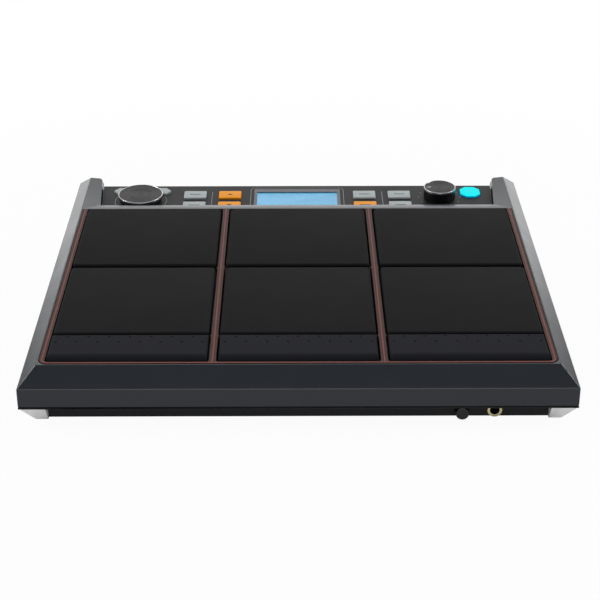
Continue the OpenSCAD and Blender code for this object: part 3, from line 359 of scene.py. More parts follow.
# Case screws: twelve blackened pan heads with a cross recess, driven up through the lip into the
# bosses of the top case.
SCREW_BLACK = (0.045, 0.045, 0.047)
SCREW_HEAD_R, SCREW_SHANK_R, SCREW_LENGTH = 2.7, 1.4, 6.0
SCREW_RIM, SCREW_CROWN, TIP_IN, TIP_L = 0.8, 0.8, 0.3, 0.4
CROSS_HALF, CROSS_REACH, CROSS_DEPTH = 0.42, 1.55, 0.9
CROSS_SIDE, CROSS_END, SCREW_AXIS = 0.12, 0.2, 0.04
SCREW_LIP_Z = 11.6
SCREW_X, SCREW_Y = (55.14, 149.981), 155.314
SCREW_SIDE_X, SCREW_SIDE_Y = 178.3, 60.0


def made(piece, points, faces, material, body, sharp):
    """Piece from points and faces, with its faces turned outwards and its edges smooth below the sharp angle."""
    mesh = bpy.data.meshes.new(piece)
    mesh.from_pydata(points.reshape(-1, 3).tolist(), [], faces)
    work = bmesh.new()
    work.from_mesh(mesh)
    bmesh.ops.recalc_face_normals(work, faces=work.faces)
    work.to_mesh(mesh)
    work.free()
    mesh.materials.append(material)
    mesh.shade_smooth()
    mesh.set_sharp_from_angle(angle=math.radians(sharp))
    thing = bpy.data.objects.new(piece, mesh)
    bpy.context.collection.objects.link(thing)
    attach(thing, body)
    return thing


def skin(piece, grid, material, body="case", sharp=30.0):
    """Closed piece from one or more grids of points (rows, columns, xyz): every cell is a quad, the
    columns run round and meet, and one face closes the first and the last row."""
    grid = np.asarray(grid)
    grid = grid.reshape((-1,) + grid.shape[-3:])
    index = np.arange(grid[..., 0].size).reshape(grid.shape[:3])
    beside = np.roll(index, -1, axis=2)
    cells = np.stack([index[:, :-1], beside[:, :-1], beside[:, 1:], index[:, 1:]], axis=-1)
    lids = np.concatenate([index[:, 0, ::-1], index[:, -1]])
    return made(piece, grid, cells.reshape(-1, 4).tolist() + lids.tolist(), material, body, sharp)


def turned(profile, columns=64):
    """Rings of points about the z axis, one for each radius and height of the profile, in mm."""
    radius, height = np.asarray(profile, float).T
    angle = np.linspace(0.0, 2.0 * math.pi, columns, endpoint=False)
    return np.stack([
        radius[:, None] * np.cos(angle),
        radius[:, None] * np.sin(angle),
        np.broadcast_to(height[:, None], (len(radius), columns)),
    ], axis=-1)


def pan_screw():
    """Shank and pan head turned from one profile; inside the cross the crown is sunk by the cross depth."""
    reach = np.linspace(SCREW_HEAD_R, SCREW_AXIS, 18)
    crown = -SCREW_RIM - SCREW_CROWN * (1.0 - (reach / SCREW_HEAD_R) ** 2)
    shank = [(SCREW_SHANK_R - TIP_IN, SCREW_LENGTH), (SCREW_SHANK_R, SCREW_LENGTH - TIP_L),
             (SCREW_SHANK_R, 0.0), (SCREW_HEAD_R, 0.0)]
    points = turned(shank + list(zip(reach, crown)))
    across, along = np.abs(points[..., 0]), np.abs(points[..., 1])
    wide, narrow = np.maximum(across, along), np.minimum(across, along)
    cross = np.clip((CROSS_HALF - narrow) / CROSS_SIDE, 0, 1) * np.clip((CROSS_REACH - wide) / CROSS_END, 0, 1)
    points[..., 2] += np.where(points[..., 2] < -SCREW_RIM, CROSS_DEPTH * cross, 0.0)
    return points


screw_places = np.array(
    [(sx * x, sy * SCREW_Y, SCREW_LIP_Z) for x in SCREW_X for sx in (-1, 1) for sy in (-1, 1)]
    + [(sx * SCREW_SIDE_X, sy * SCREW_SIDE_Y, SCREW_LIP_Z) for sx in (-1, 1) for sy in (-1, 1)])
screw_steel = metal("screw_blackened", SCREW_BLACK, rough=0.42)
screw_points = (pan_screw() + screw_places[:, None, None]) * MM
case_screws = skin("case_screw_heads", screw_points, screw_steel)
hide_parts("case_screws")

# Circuit boards and what is soldered to them: green fibreglass with etched tracks, grey control cans,
# black push switches and zinc plated screws. They are closed in, and only show in section.
BOARD_GREEN = (0.012, 0.085, 0.035, 1.0)
TRACK_GREEN = (0.03, 0.19, 0.075, 1.0)
CAN_GREY = (0.42, 0.42, 0.43)
SWITCH_BLACK = (0.02, 0.02, 0.021)
ZINC = (0.68, 0.68, 0.69)
BOARD_ROUGH, TRACK_GLOSS, TRACK_SCALE, TRACK_EDGE, TRACK_T = 0.34, 0.1, 320.0, (0.04, 0.09), 0.04


def board_finish():
    """Solder resist over etched tracks: the lines between the cells of a fine mosaic are lighter."""
    material, shader, wire, place = started("solder_resist")
    cell = wire.add("TexVoronoi", {"feature": "DISTANCE_TO_EDGE"}, {"Vector": place, "Scale": TRACK_SCALE})
    track = 1.0 - cell.ease(*TRACK_EDGE)
    track.between(BOARD_GREEN, TRACK_GREEN).to(shader, "Base Color")
    (BOARD_ROUGH - TRACK_GLOSS * track).to(shader, "Roughness")
    wire.add("Bump", {}, {"Distance": TRACK_T * MM, "Height": track}, "Normal").to(shader, "Normal")
    return material


solder_resist = board_finish()
for board in ("main_pcb", "panel_pcb", "front_jack_pcb", "rear_jack_pcb"):
    dress(board, solder_resist)
can_steel = metal("control_can_steel", CAN_GREY, rough=0.4)
for can in ("jog_encoder_body", "volume_pot_body", "phones_pot_body"):
    dress(can, can_steel)
zinc_plate = metal("zinc_plate", ZINC, rough=0.32)
for fixing in ("pcb_screws", "panel_screws"):
    dress(fixing, zinc_plate)
dress("tact_switches", moulded("switch_plastic", SWITCH_BLACK, rough=0.5, grain=0.3, depth=0.01))

# Top case: one bevelled moulding in charcoal plastic with a satin, finely etched face. It holds the
# pad well, the sloping crossbar, the sunken panel and the rear bay, and drops on to the lip.
CASE_CHARCOAL = (0.012, 0.0175, 0.0265)
CASE_EDGE, CASE_LONG = 0.7, 0.7
BAY_HALF, BAY_SHOWN = 166.0, 163.6
BAY_TOP_Z, BAY_REAR_Y = 65.0, 145.0
CHEEK_SLOPE, REAR_SLOPE, SAME_WALL = 0.2314, 0.6246, 1e-5
case_satin = moulded("case_satin", CASE_CHARCOAL, rough=0.34, grain=0.45, depth=0.012, drift=0.05,
                     Specular_IOR_Level=0.6)


def bay_drawn_in(points):
    """Corners of the case: those on the side walls of the rear bay move in to the panel's edge, down the
    slope of the cheeks, and the rear one goes back to where that slope meets the rear bevel."""
    wall = np.isclose(np.abs(points[:, 0]), BAY_HALF * MM, atol=SAME_WALL)
    top = wall & (points[:, 2] > BAY_TOP_Z * MM)
    rear = top & (points[:, 1] > BAY_REAR_Y * MM)
    drop = CHEEK_SLOPE * (BAY_HALF - BAY_SHOWN) * MM
    back = drop / (REAR_SLOPE + math.tan(DECK_TILT))
    points[wall, 0] *= BAY_SHOWN / BAY_HALF
    points[top, 2] -= drop
    points[rear, 1] += back
    points[rear, 2] += back * math.tan(DECK_TILT)
    return points


softened("top_case", "bevelled_top_case", CASE_EDGE, case_satin, long=CASE_LONG, redraw=bay_drawn_in)

# Under the rubber: zinc plated plates, brass sensor discs and blocks of dark open-cell foam that
# carry them in the well.
FOAM_GREY = (0.075, 0.075, 0.08, 1.0)
# Painted shade: the darker colour given to the sunk floor of each foam cell.
FOAM_PAINTED_SHADE = (0.03, 0.03, 0.033, 1.0)
DISC_BRASS, DISC_BRUSH = (0.66, 0.5, 0.2), (1.0, 0.1, 1.0)
FOAM_ROUGH, FOAM_SCALE, FOAM_RIM, FOAM_DEPTH = 0.95, 900.0, (0.1, 0.6), 0.5


def foam_finish():
    """Open-cell foam: the floor of each cell of a fine mosaic is sunk, and painted shade makes it darker."""
    material, shader, wire, place = started("cell_foam", Roughness=FOAM_ROUGH)
    cell = wire.add("TexVoronoi", {}, {"Vector": place, "Scale": FOAM_SCALE}, "Distance")
    # Painted shade: each cell is coloured darker towards its sunk middle, lighter at its rim.
    cell.ease(*FOAM_RIM).between(FOAM_PAINTED_SHADE, FOAM_GREY).to(shader, "Base Color")
    wire.add("Bump", {}, {"Distance": FOAM_DEPTH * MM, "Height": cell}, "Normal").to(shader, "Normal")
    return material


dress("pad_foams", foam_finish())
dress("pad_plates", zinc_plate)
dress("piezo_discs", metal("disc_brass", DISC_BRASS, rough=0.3, brush=DISC_BRUSH))

# Trim: a smoky brown strip round the pads and between their columns, moulded in tinted plastic, with
# a red light guide let into a groove along its top.
TRIM_SMOKE = (0.05, 0.021, 0.016)
TRIM_EDGE, TRIM_LONG = 0.35, 1.5
GUIDE_RED = (0.2, 0.045, 0.03)
trim_smoke = moulded("trim_smoke", TRIM_SMOKE, rough=0.42, grain=0.8, depth=0.004, drift=0.12,
                     Specular_IOR_Level=0.15)
softened("trim_frame", "trim_strip", TRIM_EDGE, trim_smoke, long=TRIM_LONG)
guide_red = moulded("guide_red", GUIDE_RED, rough=0.5, grain=0.6, depth=0.004, drift=0.1,
                    Specular_IOR_Level=0.3)
dress("light_guide", guide_red)

# Pads: six thick mats of matt charcoal rubber, moulded round their plates with a skirt, so only a
# flat top with rounded edges shows. They lie in two rows of three.
RUBBER = (0.0088, 0.0089, 0.0102)
PAD_W, PAD_D, PAD_RISE, PAD_SKIRT = 105.6, 95.6, 2.0, 5.5
PAD_CORNER, PAD_EDGE, LEAST_CORNER = 3.0, 1.8, 0.02
RUBBER_T, SKIRT_W = 5.0, 3.0
COLUMN_PITCH = 113.0
PAD_ROW_V = (85.3, 184.4)


def rounded_rings(half_u, half_v, corner, profile, steps=8):
    """Rings of points round a rectangle with round corners: for each inset and height of the profile, the
    sides move in by the inset and the corner circles shrink with them."""
    inset, height = np.asarray(profile, float).T[:, :, None, None]
    radius = np.maximum(corner - inset, LEAST_CORNER)
    angle = np.arange(4)[:, None] * math.pi / 2 + np.linspace(0.0, math.pi / 2, steps + 1)
    side_u, side_v = np.array([1, -1, -1, 1])[:, None], np.array([1, 1, -1, -1])[:, None]
    u = side_u * (half_u - inset - radius) + radius * np.cos(angle)
    v = side_v * (half_v - inset - radius) + radius * np.sin(angle)
    rings = [np.broadcast_to(part, u.shape).reshape(len(inset), -1) for part in (u, v, height)]
    return np.stack(rings, axis=-1)


def round_edge(radius, top, steps=7):
    """Inset and height along a quarter circle that turns from an upright side into a top face."""
    turn = np.linspace(0.0, math.pi / 2, steps)
    return list(zip(radius * (1.0 - np.cos(turn)), top - radius + radius * np.sin(turn)))


def at_deck(points, u, v, w=0.0):
    """Points of a piece in its own mm, moved to u, v, w on the deck."""
    return on_deck(points[..., 0] + u, points[..., 1] + v, points[..., 2] + w)


pad_profile = [(SKIRT_W, PAD_RISE - RUBBER_T), (SKIRT_W, -PAD_SKIRT), (0.0, -PAD_SKIRT)]
pad_profile += round_edge(PAD_EDGE, PAD_RISE)
pad_form = rounded_rings(PAD_W / 2, PAD_D / 2, PAD_CORNER, pad_profile)
pad_rubber = moulded("pad_rubber", RUBBER, rough=0.72, grain=0.7, depth=0.02, drift=0.05,
                     Specular_IOR_Level=0.1)
for number in range(6):
    pad_u, pad_v = (number % 3 - 1) * COLUMN_PITCH, PAD_ROW_V[number // 3]
    pad = skin(f"rubber_pad_{number + 1}", at_deck(pad_form, pad_u, pad_v), pad_rubber)
    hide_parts(f"pad_{number + 1}")

# Edge bars: three strips of a slightly lighter rubber in front of the pads, with a rounded nose to strike
# with the shaft of a stick and two staggered rows of small moulded dimples.
BAR_RUBBER = (0.0135, 0.014, 0.019)
BAR_V, BAR_D, BAR_NOSE = 4.1, 31.9, 7.0
BAR_STEP_U, BAR_STEP_V, BAR_SHARP = 0.36, 0.32, 40.0
DIMPLE_R, DIMPLE_DEPTH, DIMPLE_PITCH = 0.9, 0.55, 14.0
DIMPLE_ROWS = ((8, 21.7), (7, 28.3))


def fine_steps(length, first, last, step):
    """Places from 0 to length: close together on the rounded ends of radius first and last, step apart between."""
    turn = np.linspace(0.0, math.pi / 2, 12)[:-1]
    middle = np.linspace(first, length - last, int((length - first - last) / step) + 1)
    return np.concatenate([first * (1.0 - np.cos(turn)), middle, length - last * (1.0 - np.cos(turn[::-1]))])


def fall(distance, radius):
    """How far a quarter-round edge has fallen at that distance inside it."""
    reach = np.clip(radius - distance, 0.0, radius)
    return radius - np.sqrt(radius ** 2 - reach ** 2)


def edge_bar_top():
    """Height field over the bar: it falls by the largest of its four rounded edges, and each dimple takes a
    small bowl out of it."""
    across = fine_steps(PAD_W, PAD_EDGE, PAD_EDGE, BAR_STEP_U) - PAD_W / 2
    along = fine_steps(BAR_D, BAR_NOSE, PAD_EDGE, BAR_STEP_V)
    u, v = np.meshgrid(across, along)
    drop = np.maximum(fall(v, BAR_NOSE), fall(np.minimum(BAR_D - v, PAD_W / 2 - np.abs(u)), PAD_EDGE))
    for count, row_v in DIMPLE_ROWS:
        shift = (count - 1) % 2 / 2
        nearest = np.clip(np.round(u / DIMPLE_PITCH - shift), -(count // 2), (count - 1) // 2)
        centre = (nearest + shift) * DIMPLE_PITCH
        bowl = np.clip(1.0 - ((u - centre) ** 2 + (v - row_v) ** 2) / DIMPLE_R ** 2, 0.0, 1.0)
        drop = drop + DIMPLE_DEPTH * np.sqrt(bowl)
    return np.stack([u, v, PAD_RISE - drop], axis=-1)


def block(piece, top, insets, material, middle, place):
    """Closed piece under a grid of top points: its border is carried down and under through rings that
    move in towards the middle by an inset at a height, and one face closes the last ring."""
    index = np.arange(top[..., 0].size).reshape(top.shape[:2])
    border = np.concatenate([index[0], index[1:, -1], index[-1, -2::-1], index[-2:0:-1, 0]])
    edge = top.reshape(-1, 3)[border]
    rings, points = [border], [top.reshape(-1, 3)]
    for step, (inset, height) in enumerate(insets):
        ring = edge - np.sign(edge - middle) * np.minimum(np.abs(edge - middle), inset)
        ring[:, 2] = height
        rings.append(index.size + step * len(border) + np.arange(len(border)))
        points.append(ring)
    rings = np.array(rings)
    cells = np.stack([index[:-1, :-1], index[:-1, 1:], index[1:, 1:], index[1:, :-1]], axis=-1).reshape(-1, 4)
    walls = np.stack([rings[:-1], np.roll(rings[:-1], -1, 1), np.roll(rings[1:], -1, 1), rings[1:]], axis=-1)
    faces = cells.tolist() + walls.reshape(-1, 4).tolist() + [rings[-1].tolist()]
    return made(piece, at_deck(np.concatenate(points), *place), faces, material, "case", BAR_SHARP)


bar_rubber = moulded("bar_rubber", BAR_RUBBER, rough=0.6, grain=0.7, depth=0.015, drift=0.05,
                     Specular_IOR_Level=0.06)
bar_top = edge_bar_top()
bar_foot = [(0.0, -PAD_SKIRT), (SKIRT_W, -PAD_SKIRT), (SKIRT_W, PAD_RISE - RUBBER_T)]
bar_middle = np.array([0.0, BAR_D / 2, 0.0])
for number in range(3):
    bar_at = ((number - 1) * COLUMN_PITCH, BAR_V)
    bar = block(f"rubber_edge_bar_{number + 1}", bar_top, bar_foot, bar_rubber, bar_middle, bar_at)
    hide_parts(f"edge_bar_{number + 1}")

# Control panel: a dark grey plate with openings for everything on it, screen printed in pale ink with
# an outline round the display, two dividing lines, a ring round the dial and dots round the knob.
PANEL_V, PANEL_W, PANEL_EDGE = 249.0, -8.3, 0.25
PANEL_GREY = (0.011, 0.0112, 0.012)
INK_GREY = (0.24, 0.24, 0.25)
INK_LIFT, LINE_W, ARC_W = 0.05, 0.5, 0.45
OUTLINE_HALF_U, OUTLINE_V, OUTLINE_HALF_V, OUTLINE_CORNER = 38.2, 21.6, 22.6, 4.0
DIVIDER_U, DIVIDER_V = 70.0, (2.5, 37.0)
DIAL_U, DIAL_V, DIAL_RING, DIAL_ARC = -128.0, 19.5, 21.0, (148.0, 392.0)
KNOB_U, KNOB_V, DOT_CIRCLE, DOT_R = 117.0, 26.0, 17.2, 0.62
DOT_ARC, DOT_COUNT = (-60.0, 240.0), 11
panel_plastic = moulded("panel_plastic", PANEL_GREY, rough=0.5, grain=0.4, depth=0.01, drift=0.06,
                        Specular_IOR_Level=0.22)
softened("control_panel", "control_panel_plate", PANEL_EDGE, panel_plastic)
pale_ink = moulded("pale_ink", INK_GREY, rough=0.55, grain=0.2, depth=0.002, drift=0.06)


def ribbon(path, width, closed=False):
    """Flat printed line: a low rectangle of that width carried along a path of u, v points on the panel."""
    path = np.asarray(path, float)
    ahead, behind = np.roll(path, -1, 0), np.roll(path, 1, 0)
    if not closed:
        ahead[-1], behind[0] = path[-1], path[0]
    run = ahead - behind
    side = np.stack([-run[:, 1], run[:, 0]], -1) / np.linalg.norm(run, axis=1)[:, None] * width / 2
    left, right = path + side, path - side
    low, high = np.zeros(len(path)), np.full(len(path), INK_LIFT)
    section = [np.column_stack([p, h]) for p, h in ((left, low), (right, low), (right, high), (left, high))]
    rows = np.stack(section, axis=1)
    return np.concatenate([rows, rows[:1]]) if closed else rows


def arc(radius, start, stop, count):
    """Points on a circle between two angles in degrees."""
    angle = np.radians(np.linspace(start, stop, count))
    return radius * np.stack([np.cos(angle), np.sin(angle)], axis=-1)


def printed(piece, form, u, v, ink, body="case", rise=0.0):
    """Printed mark at u, v on the panel, or that far above it on a key or a knob."""
    skin(piece, at_deck(form, u, PANEL_V + v, PANEL_W + rise), ink, body)


frame_line = rounded_rings(OUTLINE_HALF_U, OUTLINE_HALF_V, OUTLINE_CORNER, [(0.0, 0.0)])[0, :, :2]
printed("ink_display_outline", ribbon(frame_line, LINE_W, closed=True), 0.0, OUTLINE_V, pale_ink)
divider = ribbon([(0.0, DIVIDER_V[0]), (0.0, sum(DIVIDER_V) / 2), (0.0, DIVIDER_V[1])], LINE_W)
for side, name in ((-1, "left"), (1, "right")):
    printed(f"ink_divider_{name}", divider, side * DIVIDER_U, 0.0, pale_ink)
printed("ink_dial_ring", ribbon(arc(DIAL_RING, *DIAL_ARC, 90), ARC_W), DIAL_U, DIAL_V, pale_ink)
dot = turned([(DOT_R, 0.0), (DOT_R, INK_LIFT)], 20)
dots = np.column_stack([arc(DOT_CIRCLE, *DOT_ARC, DOT_COUNT), np.zeros(DOT_COUNT)])
printed("ink_knob_dots", dot + dots[:, None, None], KNOB_U, KNOB_V, pale_ink)

# Keys: eight satin plastic caps in two rows, each with a flange that stops it under the panel and a
# plunger over its switch. Five are light grey and three orange; two carry arrows, the rest a plain dash.
KEY_GREY = (0.41, 0.46, 0.465)
KEY_ORANGE = (1.0, 0.35, 0.002)
KEY_W, KEY_D, KEY_RISE = 18.5, 13.4, 1.4
KEY_CORNER, KEY_EDGE = 1.2, 0.6
KEY_FLANGE, PANEL_T, FLANGE_T = 0.8, 2.0, 1.1
PLUNGER_R, PLUNGER_L = 2.0, 2.0
KEY_OUTER_U, KEY_INNER_U = 83.952, 55.282
KEY_FRONT_V, KEY_REAR_V = 8.8, 29.2
MARK_GREY = (0.03, 0.032, 0.035)
MARK_W, MARK_HALF = 1.0, 4.4
ARROW_HALF, ARROW_L = 2.3, 2.8
key_light = moulded("key_light", KEY_GREY, rough=0.42, grain=0.5, depth=0.006, drift=0.03,
                    Specular_IOR_Level=0.3)
key_orange = moulded("key_orange", KEY_ORANGE, rough=0.42, grain=0.5, depth=0.006, drift=0.03,
                     Specular_IOR_Level=0.15)
mark_ink = moulded("mark_ink", MARK_GREY, rough=0.55, grain=0.2, depth=0.002, drift=0.05)
flange_low = -PANEL_T - FLANGE_T
key_foot = turned([(PLUNGER_R, flange_low - PLUNGER_L), (PLUNGER_R, flange_low)], 36)
key_profile = [(-KEY_FLANGE, flange_low), (-KEY_FLANGE, -PANEL_T), (0.0, -PANEL_T)]
key_profile += round_edge(KEY_EDGE, KEY_RISE)
key_form = np.concatenate([key_foot, rounded_rings(KEY_W / 2, KEY_D / 2, KEY_CORNER, key_profile)])
dash = ribbon([(-MARK_HALF, 0.0), (0.0, 0.0), (MARK_HALF, 0.0)], MARK_W)
arrow_plan = np.array([(-ARROW_HALF, -ARROW_L / 2), (ARROW_HALF, -ARROW_L / 2), (0.0, ARROW_L / 2)])
arrow_up = np.stack([np.column_stack([arrow_plan, np.full(3, h)]) for h in (0.0, INK_LIFT)])
key_marks = {"key_up": arrow_up, "key_down": arrow_up * (1, -1, 1)}
grey, orange = (key_light, "key_grey"), (key_orange, "key_orange")
for key, key_u, key_v, (finish, slot) in (
    ("key_left_outer_rear", -KEY_OUTER_U, KEY_REAR_V, grey),
    ("key_left_outer_front", -KEY_OUTER_U, KEY_FRONT_V, grey),
    ("key_up", -KEY_INNER_U, KEY_REAR_V, orange),
    ("key_down", -KEY_INNER_U, KEY_FRONT_V, orange),
    ("key_right_inner_rear", KEY_INNER_U, KEY_REAR_V, grey),
    ("key_right_inner_front", KEY_INNER_U, KEY_FRONT_V, orange),
    ("key_right_outer_rear", KEY_OUTER_U, KEY_REAR_V, grey),
    ("key_right_outer_front", KEY_OUTER_U, KEY_FRONT_V, grey),
):
    cap = skin(f"{key}_cap", at_deck(key_form, key_u, PANEL_V + key_v, PANEL_W), finish, f"{key}_body")
    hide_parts(key)
    printed(f"{key}_mark", key_marks.get(key, dash), key_u, key_v, mark_ink, f"{key}_body", KEY_RISE)

# Wing keys: two pointed grey keys that look out from behind the jog dial, left and right of it, cut
# round to clear it.
WING_EDGE, WING_LONG = 0.45, 0.4
for side in ("left", "right"):
    wing = f"dial_key_{side}"
    softened(wing, f"wing_key_{side}", WING_EDGE, key_light, f"{wing}_body", WING_LONG)

# Jog dial: a gloss black body flared out to a bright turned ring, with a dark anodised cap let into
# it. The cap is spun, so its fine turned grooves throw the light out in wedges.
KNOB_BLACK = (0.006, 0.006, 0.007)
RING_BRIGHT = (0.52, 0.52, 0.53)
CAP_GREY = (0.1, 0.097, 0.098)
CAP_TINT = (0.5, 0.5, 0.5, 1.0)
DIAL_R, DIAL_H, DIAL_FOOT, DIAL_SEAT = 18.2, 6.6, 17.0, 0.4
RING_W, RING_H, RING_EDGE, RING_LIP = 0.9, 1.6, 0.4, 0.2
CAP_SINK, CAP_DISH, CAP_GROOVE, CAP_RIDGE = 0.25, 0.25, 0.5, 0.065
CAP_GAP, CAP_EYE, CAP_SHARP = 0.05, 0.004, 10.0
CAP_DARK, CAP_LIGHT, CAP_ROUGH, CAP_GLOSS, CAP_BUMP = 0.8, 1.2, 0.2, 0.12, 0.12
TURN_GAP, HUB_R, HUB_LOW, SHELL, ROOF = 0.6, 6.0, 1.7, 2.0, 1.3
TURN_AXIS, FOOT_IN, FLUTE_DEPTH, HOOP_SHARP, KNOB_COLUMNS = 0.05, 0.3, 0.018, 40.0, 120
knob_black = moulded("knob_black", KNOB_BLACK, rough=0.2, grain=0.6, depth=0.004)
ring_bright = metal("ring_bright", RING_BRIGHT, rough=0.3)


def spun(name, colour, u, v):
    """Spun metal: uneven rings about the axis at u, v, from noise along the distance to it, as tone and bump."""
    material, shader, wire, place = started(name, Metallic=1.0, Specular_Tint=CAP_TINT)
    middle = on_deck(u, v, PANEL_W).tolist()
    out = wire.add("VectorMath", {"operation": "SUBTRACT"}, {0: place, 1: middle})
    rise = wire.add("VectorMath", {"operation": "DOT_PRODUCT"}, {0: out, 1: deck_normal.tolist()}, "Value")
    length = wire.add("VectorMath", {"operation": "LENGTH"}, {0: out}, "Value")
    reach = wire.math("SQRT", length * length - rise * rise)
    rings = wire.add("TexNoise", {"noise_dimensions": "1D"},
                     {"W": reach, "Scale": 1.0 / (CAP_GROOVE * MM), "Detail": 2.0})
    rings.between(shade(colour, CAP_DARK), shade(colour, CAP_LIGHT)).to(shader, "Base Color")
    (CAP_ROUGH + CAP_GLOSS * rings).to(shader, "Roughness")
    wire.add("Bump", {}, {"Distance": CAP_BUMP * MM, "Height": rings}, "Normal").to(shader, "Normal")
    return material


def knob_body(radius, foot, height, flutes=0, columns=96):
    """Hollow turned body with a hub: its side runs from the foot to the seat under the ring, and flutes,
    shallow round waves about the axis, are cut into it."""
    seat, low = height - RING_H, TURN_GAP + FOOT_IN
    profile = [(TURN_AXIS, HUB_LOW), (HUB_R, HUB_LOW), (HUB_R, seat - ROOF), (foot - SHELL, seat - ROOF),
               (foot - SHELL, TURN_GAP), (foot - FOOT_IN, TURN_GAP), (foot, low)]
    side = np.linspace(0.0, 1.0, 6)[1:]
    profile += list(zip(foot + (radius - foot) * side, low + (seat - low) * side))
    points = turned(profile + [(TURN_AXIS, seat)], columns)
    if flutes:
        wave = 0.5 + 0.5 * np.cos(flutes * np.linspace(0.0, 2.0 * math.pi, columns, endpoint=False))
        points[5:-1, :, :2] *= (1.0 - FLUTE_DEPTH * wave)[:, None]
    return points


def hoop(piece, grid, material, body="case"):
    """Closed ring from a grid of points whose rows and columns both run round and meet."""
    index = np.arange(grid[..., 0].size).reshape(grid.shape[:2])
    beside = np.roll(index, -1, axis=1)
    faces = np.stack([index, beside, np.roll(beside, -1, axis=0), np.roll(index, -1, axis=0)], axis=-1)
    return made(piece, grid, faces.reshape(-1, 4).tolist(), material, body, HOOP_SHARP)


def knob_ring(radius, height):
    """Ring of rounded section round the top of a knob."""
    turn = np.linspace(0.0, math.pi / 2, 6)
    outer = np.column_stack([radius - RING_EDGE + RING_EDGE * np.cos(turn),
                             height - RING_EDGE + RING_EDGE * np.sin(turn)])
    bore = radius - RING_W
    inner = [(bore + RING_LIP, height), (bore, height - RING_LIP), (bore, height - RING_H)]
    return turned([(radius, height - RING_H)] + outer.tolist() + inner, KNOB_COLUMNS)


def knob_cap(radius, height):
    """Disc inside the ring, dished towards its middle, with fine turned grooves: a zigzag along the radius."""
    rim = radius - RING_W - CAP_GAP
    share = np.linspace(1.0, CAP_EYE, 2 * int(rim / CAP_GROOVE) + 1)
    groove = CAP_RIDGE * (np.arange(len(share)) % 2)
    crown = list(zip(rim * share, height - CAP_SINK - CAP_DISH * (1.0 - share) - groove))
    return turned([(TURN_AXIS, height - RING_H), (rim, height - RING_H)] + crown, KNOB_COLUMNS)


def knob(node, shell, radius, height, u, v, cap_finish):
    """Turned knob at u, v on the panel: its shell, its bright ring and its spun cap, on one body."""
    place, body = (u, PANEL_V + v, PANEL_W), f"{node}_body"
    form = skin(f"{node}_shell", at_deck(shell, *place), knob_black, body)
    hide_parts(node)
    ring = hoop(f"{node}_bright_ring", at_deck(knob_ring(radius, height), *place), ring_bright, body)
    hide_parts(f"{node}_ring")
    finish = spun(cap_finish, CAP_GREY, u, PANEL_V + v)
    cap = skin(f"{node}_spun_cap", at_deck(knob_cap(radius, height), *place), finish, body, CAP_SHARP)
    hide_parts(f"{node}_cap")


flared_body = knob_body(DIAL_R - DIAL_SEAT, DIAL_FOOT, DIAL_H)
knob("jog_dial", flared_body, DIAL_R, DIAL_H, DIAL_U, DIAL_V, "dial_cap_spun")

# Volume knob: taller, with finely fluted gloss black sides, the same bright ring and spun cap, and a
# white pointer let into the cap, at nine o'clock in the photograph.
KNOB_R, KNOB_H, KNOB_SEAT, KNOB_FLUTES, FLUTE_COLUMNS = 13.0, 9.3, 0.3, 40, 320
POINTER_FROM, POINTER_TO, POINTER_W, POINTER_SINK = -10.7, -7.1, 0.9, 0.05
POINTER_WHITE = (0.8, 0.8, 0.79)
SHAFT_STEEL, SHAFT_BRUSH = (0.62, 0.62, 0.63), (1.0, 1.0, 0.05)
fluted_body = knob_body(KNOB_R - KNOB_SEAT, KNOB_R, KNOB_H, KNOB_FLUTES, FLUTE_COLUMNS)
knob("volume_knob", fluted_body, KNOB_R, KNOB_H, KNOB_U, KNOB_V, "volume_cap_spun")
pointer_path = [(POINTER_FROM, 0.0), ((POINTER_FROM + POINTER_TO) / 2, 0.0), (POINTER_TO, 0.0)]
pointer_white = moulded("pointer_white", POINTER_WHITE, rough=0.5, grain=0.3, depth=0.003, drift=0.03)
printed("volume_pointer", ribbon(pointer_path, POINTER_W), KNOB_U, KNOB_V, pointer_white,
        "volume_knob_body", KNOB_H - CAP_SINK - POINTER_SINK)
shaft_steel = metal("shaft_steel", SHAFT_STEEL, rough=0.28, brush=SHAFT_BRUSH)
for shaft in ("jog_encoder_shaft", "volume_pot_shaft", "phones_pot_shaft"):
    dress(shaft, shaft_steel)

# Display: a grey bezel clipped into the panel, a clear window let into it from below, and behind that
# a backlit blue module. Its words are left out: three faint rows of plain blocks stand for them.
BEZEL_GREY = (0.12, 0.12, 0.135)
BEZEL_EDGE, BEZEL_LONG = 0.3, 1.0
WINDOW_TINT, WINDOW_IOR = (0.9, 0.95, 1.0), 1.3
SCREEN_D, SCREEN_V, SCREEN_TOP_W, SCREEN_FADE = 29.0, 21.4, -9.7, (-0.5, -0.2)
SCREEN_BLUE = (0.06, 0.48, 0.78, 1.0)
SCREEN_SHADE = (0.04, 0.38, 0.7, 1.0)
SCREEN_OFF = (0.02, 0.05, 0.09, 1.0)
SCREEN_GLOW, SCREEN_ROUGH = 0.8, 0.4
ROW_PITCH, ROW_SHIFT, ROW_LOW, ROW_HIGH = 9.0, 37.0, (0.3, 0.36), (0.62, 0.68)
LETTER_SCALE, LETTER_CUT, LETTER_SHARE = 0.55, (0.5, 0.54), 0.8
bezel_plastic = moulded("bezel_plastic", BEZEL_GREY, rough=0.45, grain=0.4, depth=0.008, drift=0.06)
softened("lcd_bezel", "display_bezel", BEZEL_EDGE, bezel_plastic, long=BEZEL_LONG)
window_clear = moulded("window_clear", WINDOW_TINT, rough=0.12, grain=0.5, depth=0.002, drift=0.01,
                       Transmission_Weight=1.0, IOR=WINDOW_IOR)
dress("lcd_window", window_clear)


def deck_axis(wire, place, axis):
    """Distance in mm along a direction of the deck, from the deck's front edge."""
    start = float(np.dot(axis, on_deck(0.0, 0.0, 0.0))) / MM
    along = wire.add("VectorMath", {"operation": "DOT_PRODUCT"}, {0: place, 1: axis.tolist()}, "Value")
    return along / MM - start


deck_back = (on_deck(0.0, 1.0, 0.0) - on_deck(0.0, 0.0, 0.0)) / MM


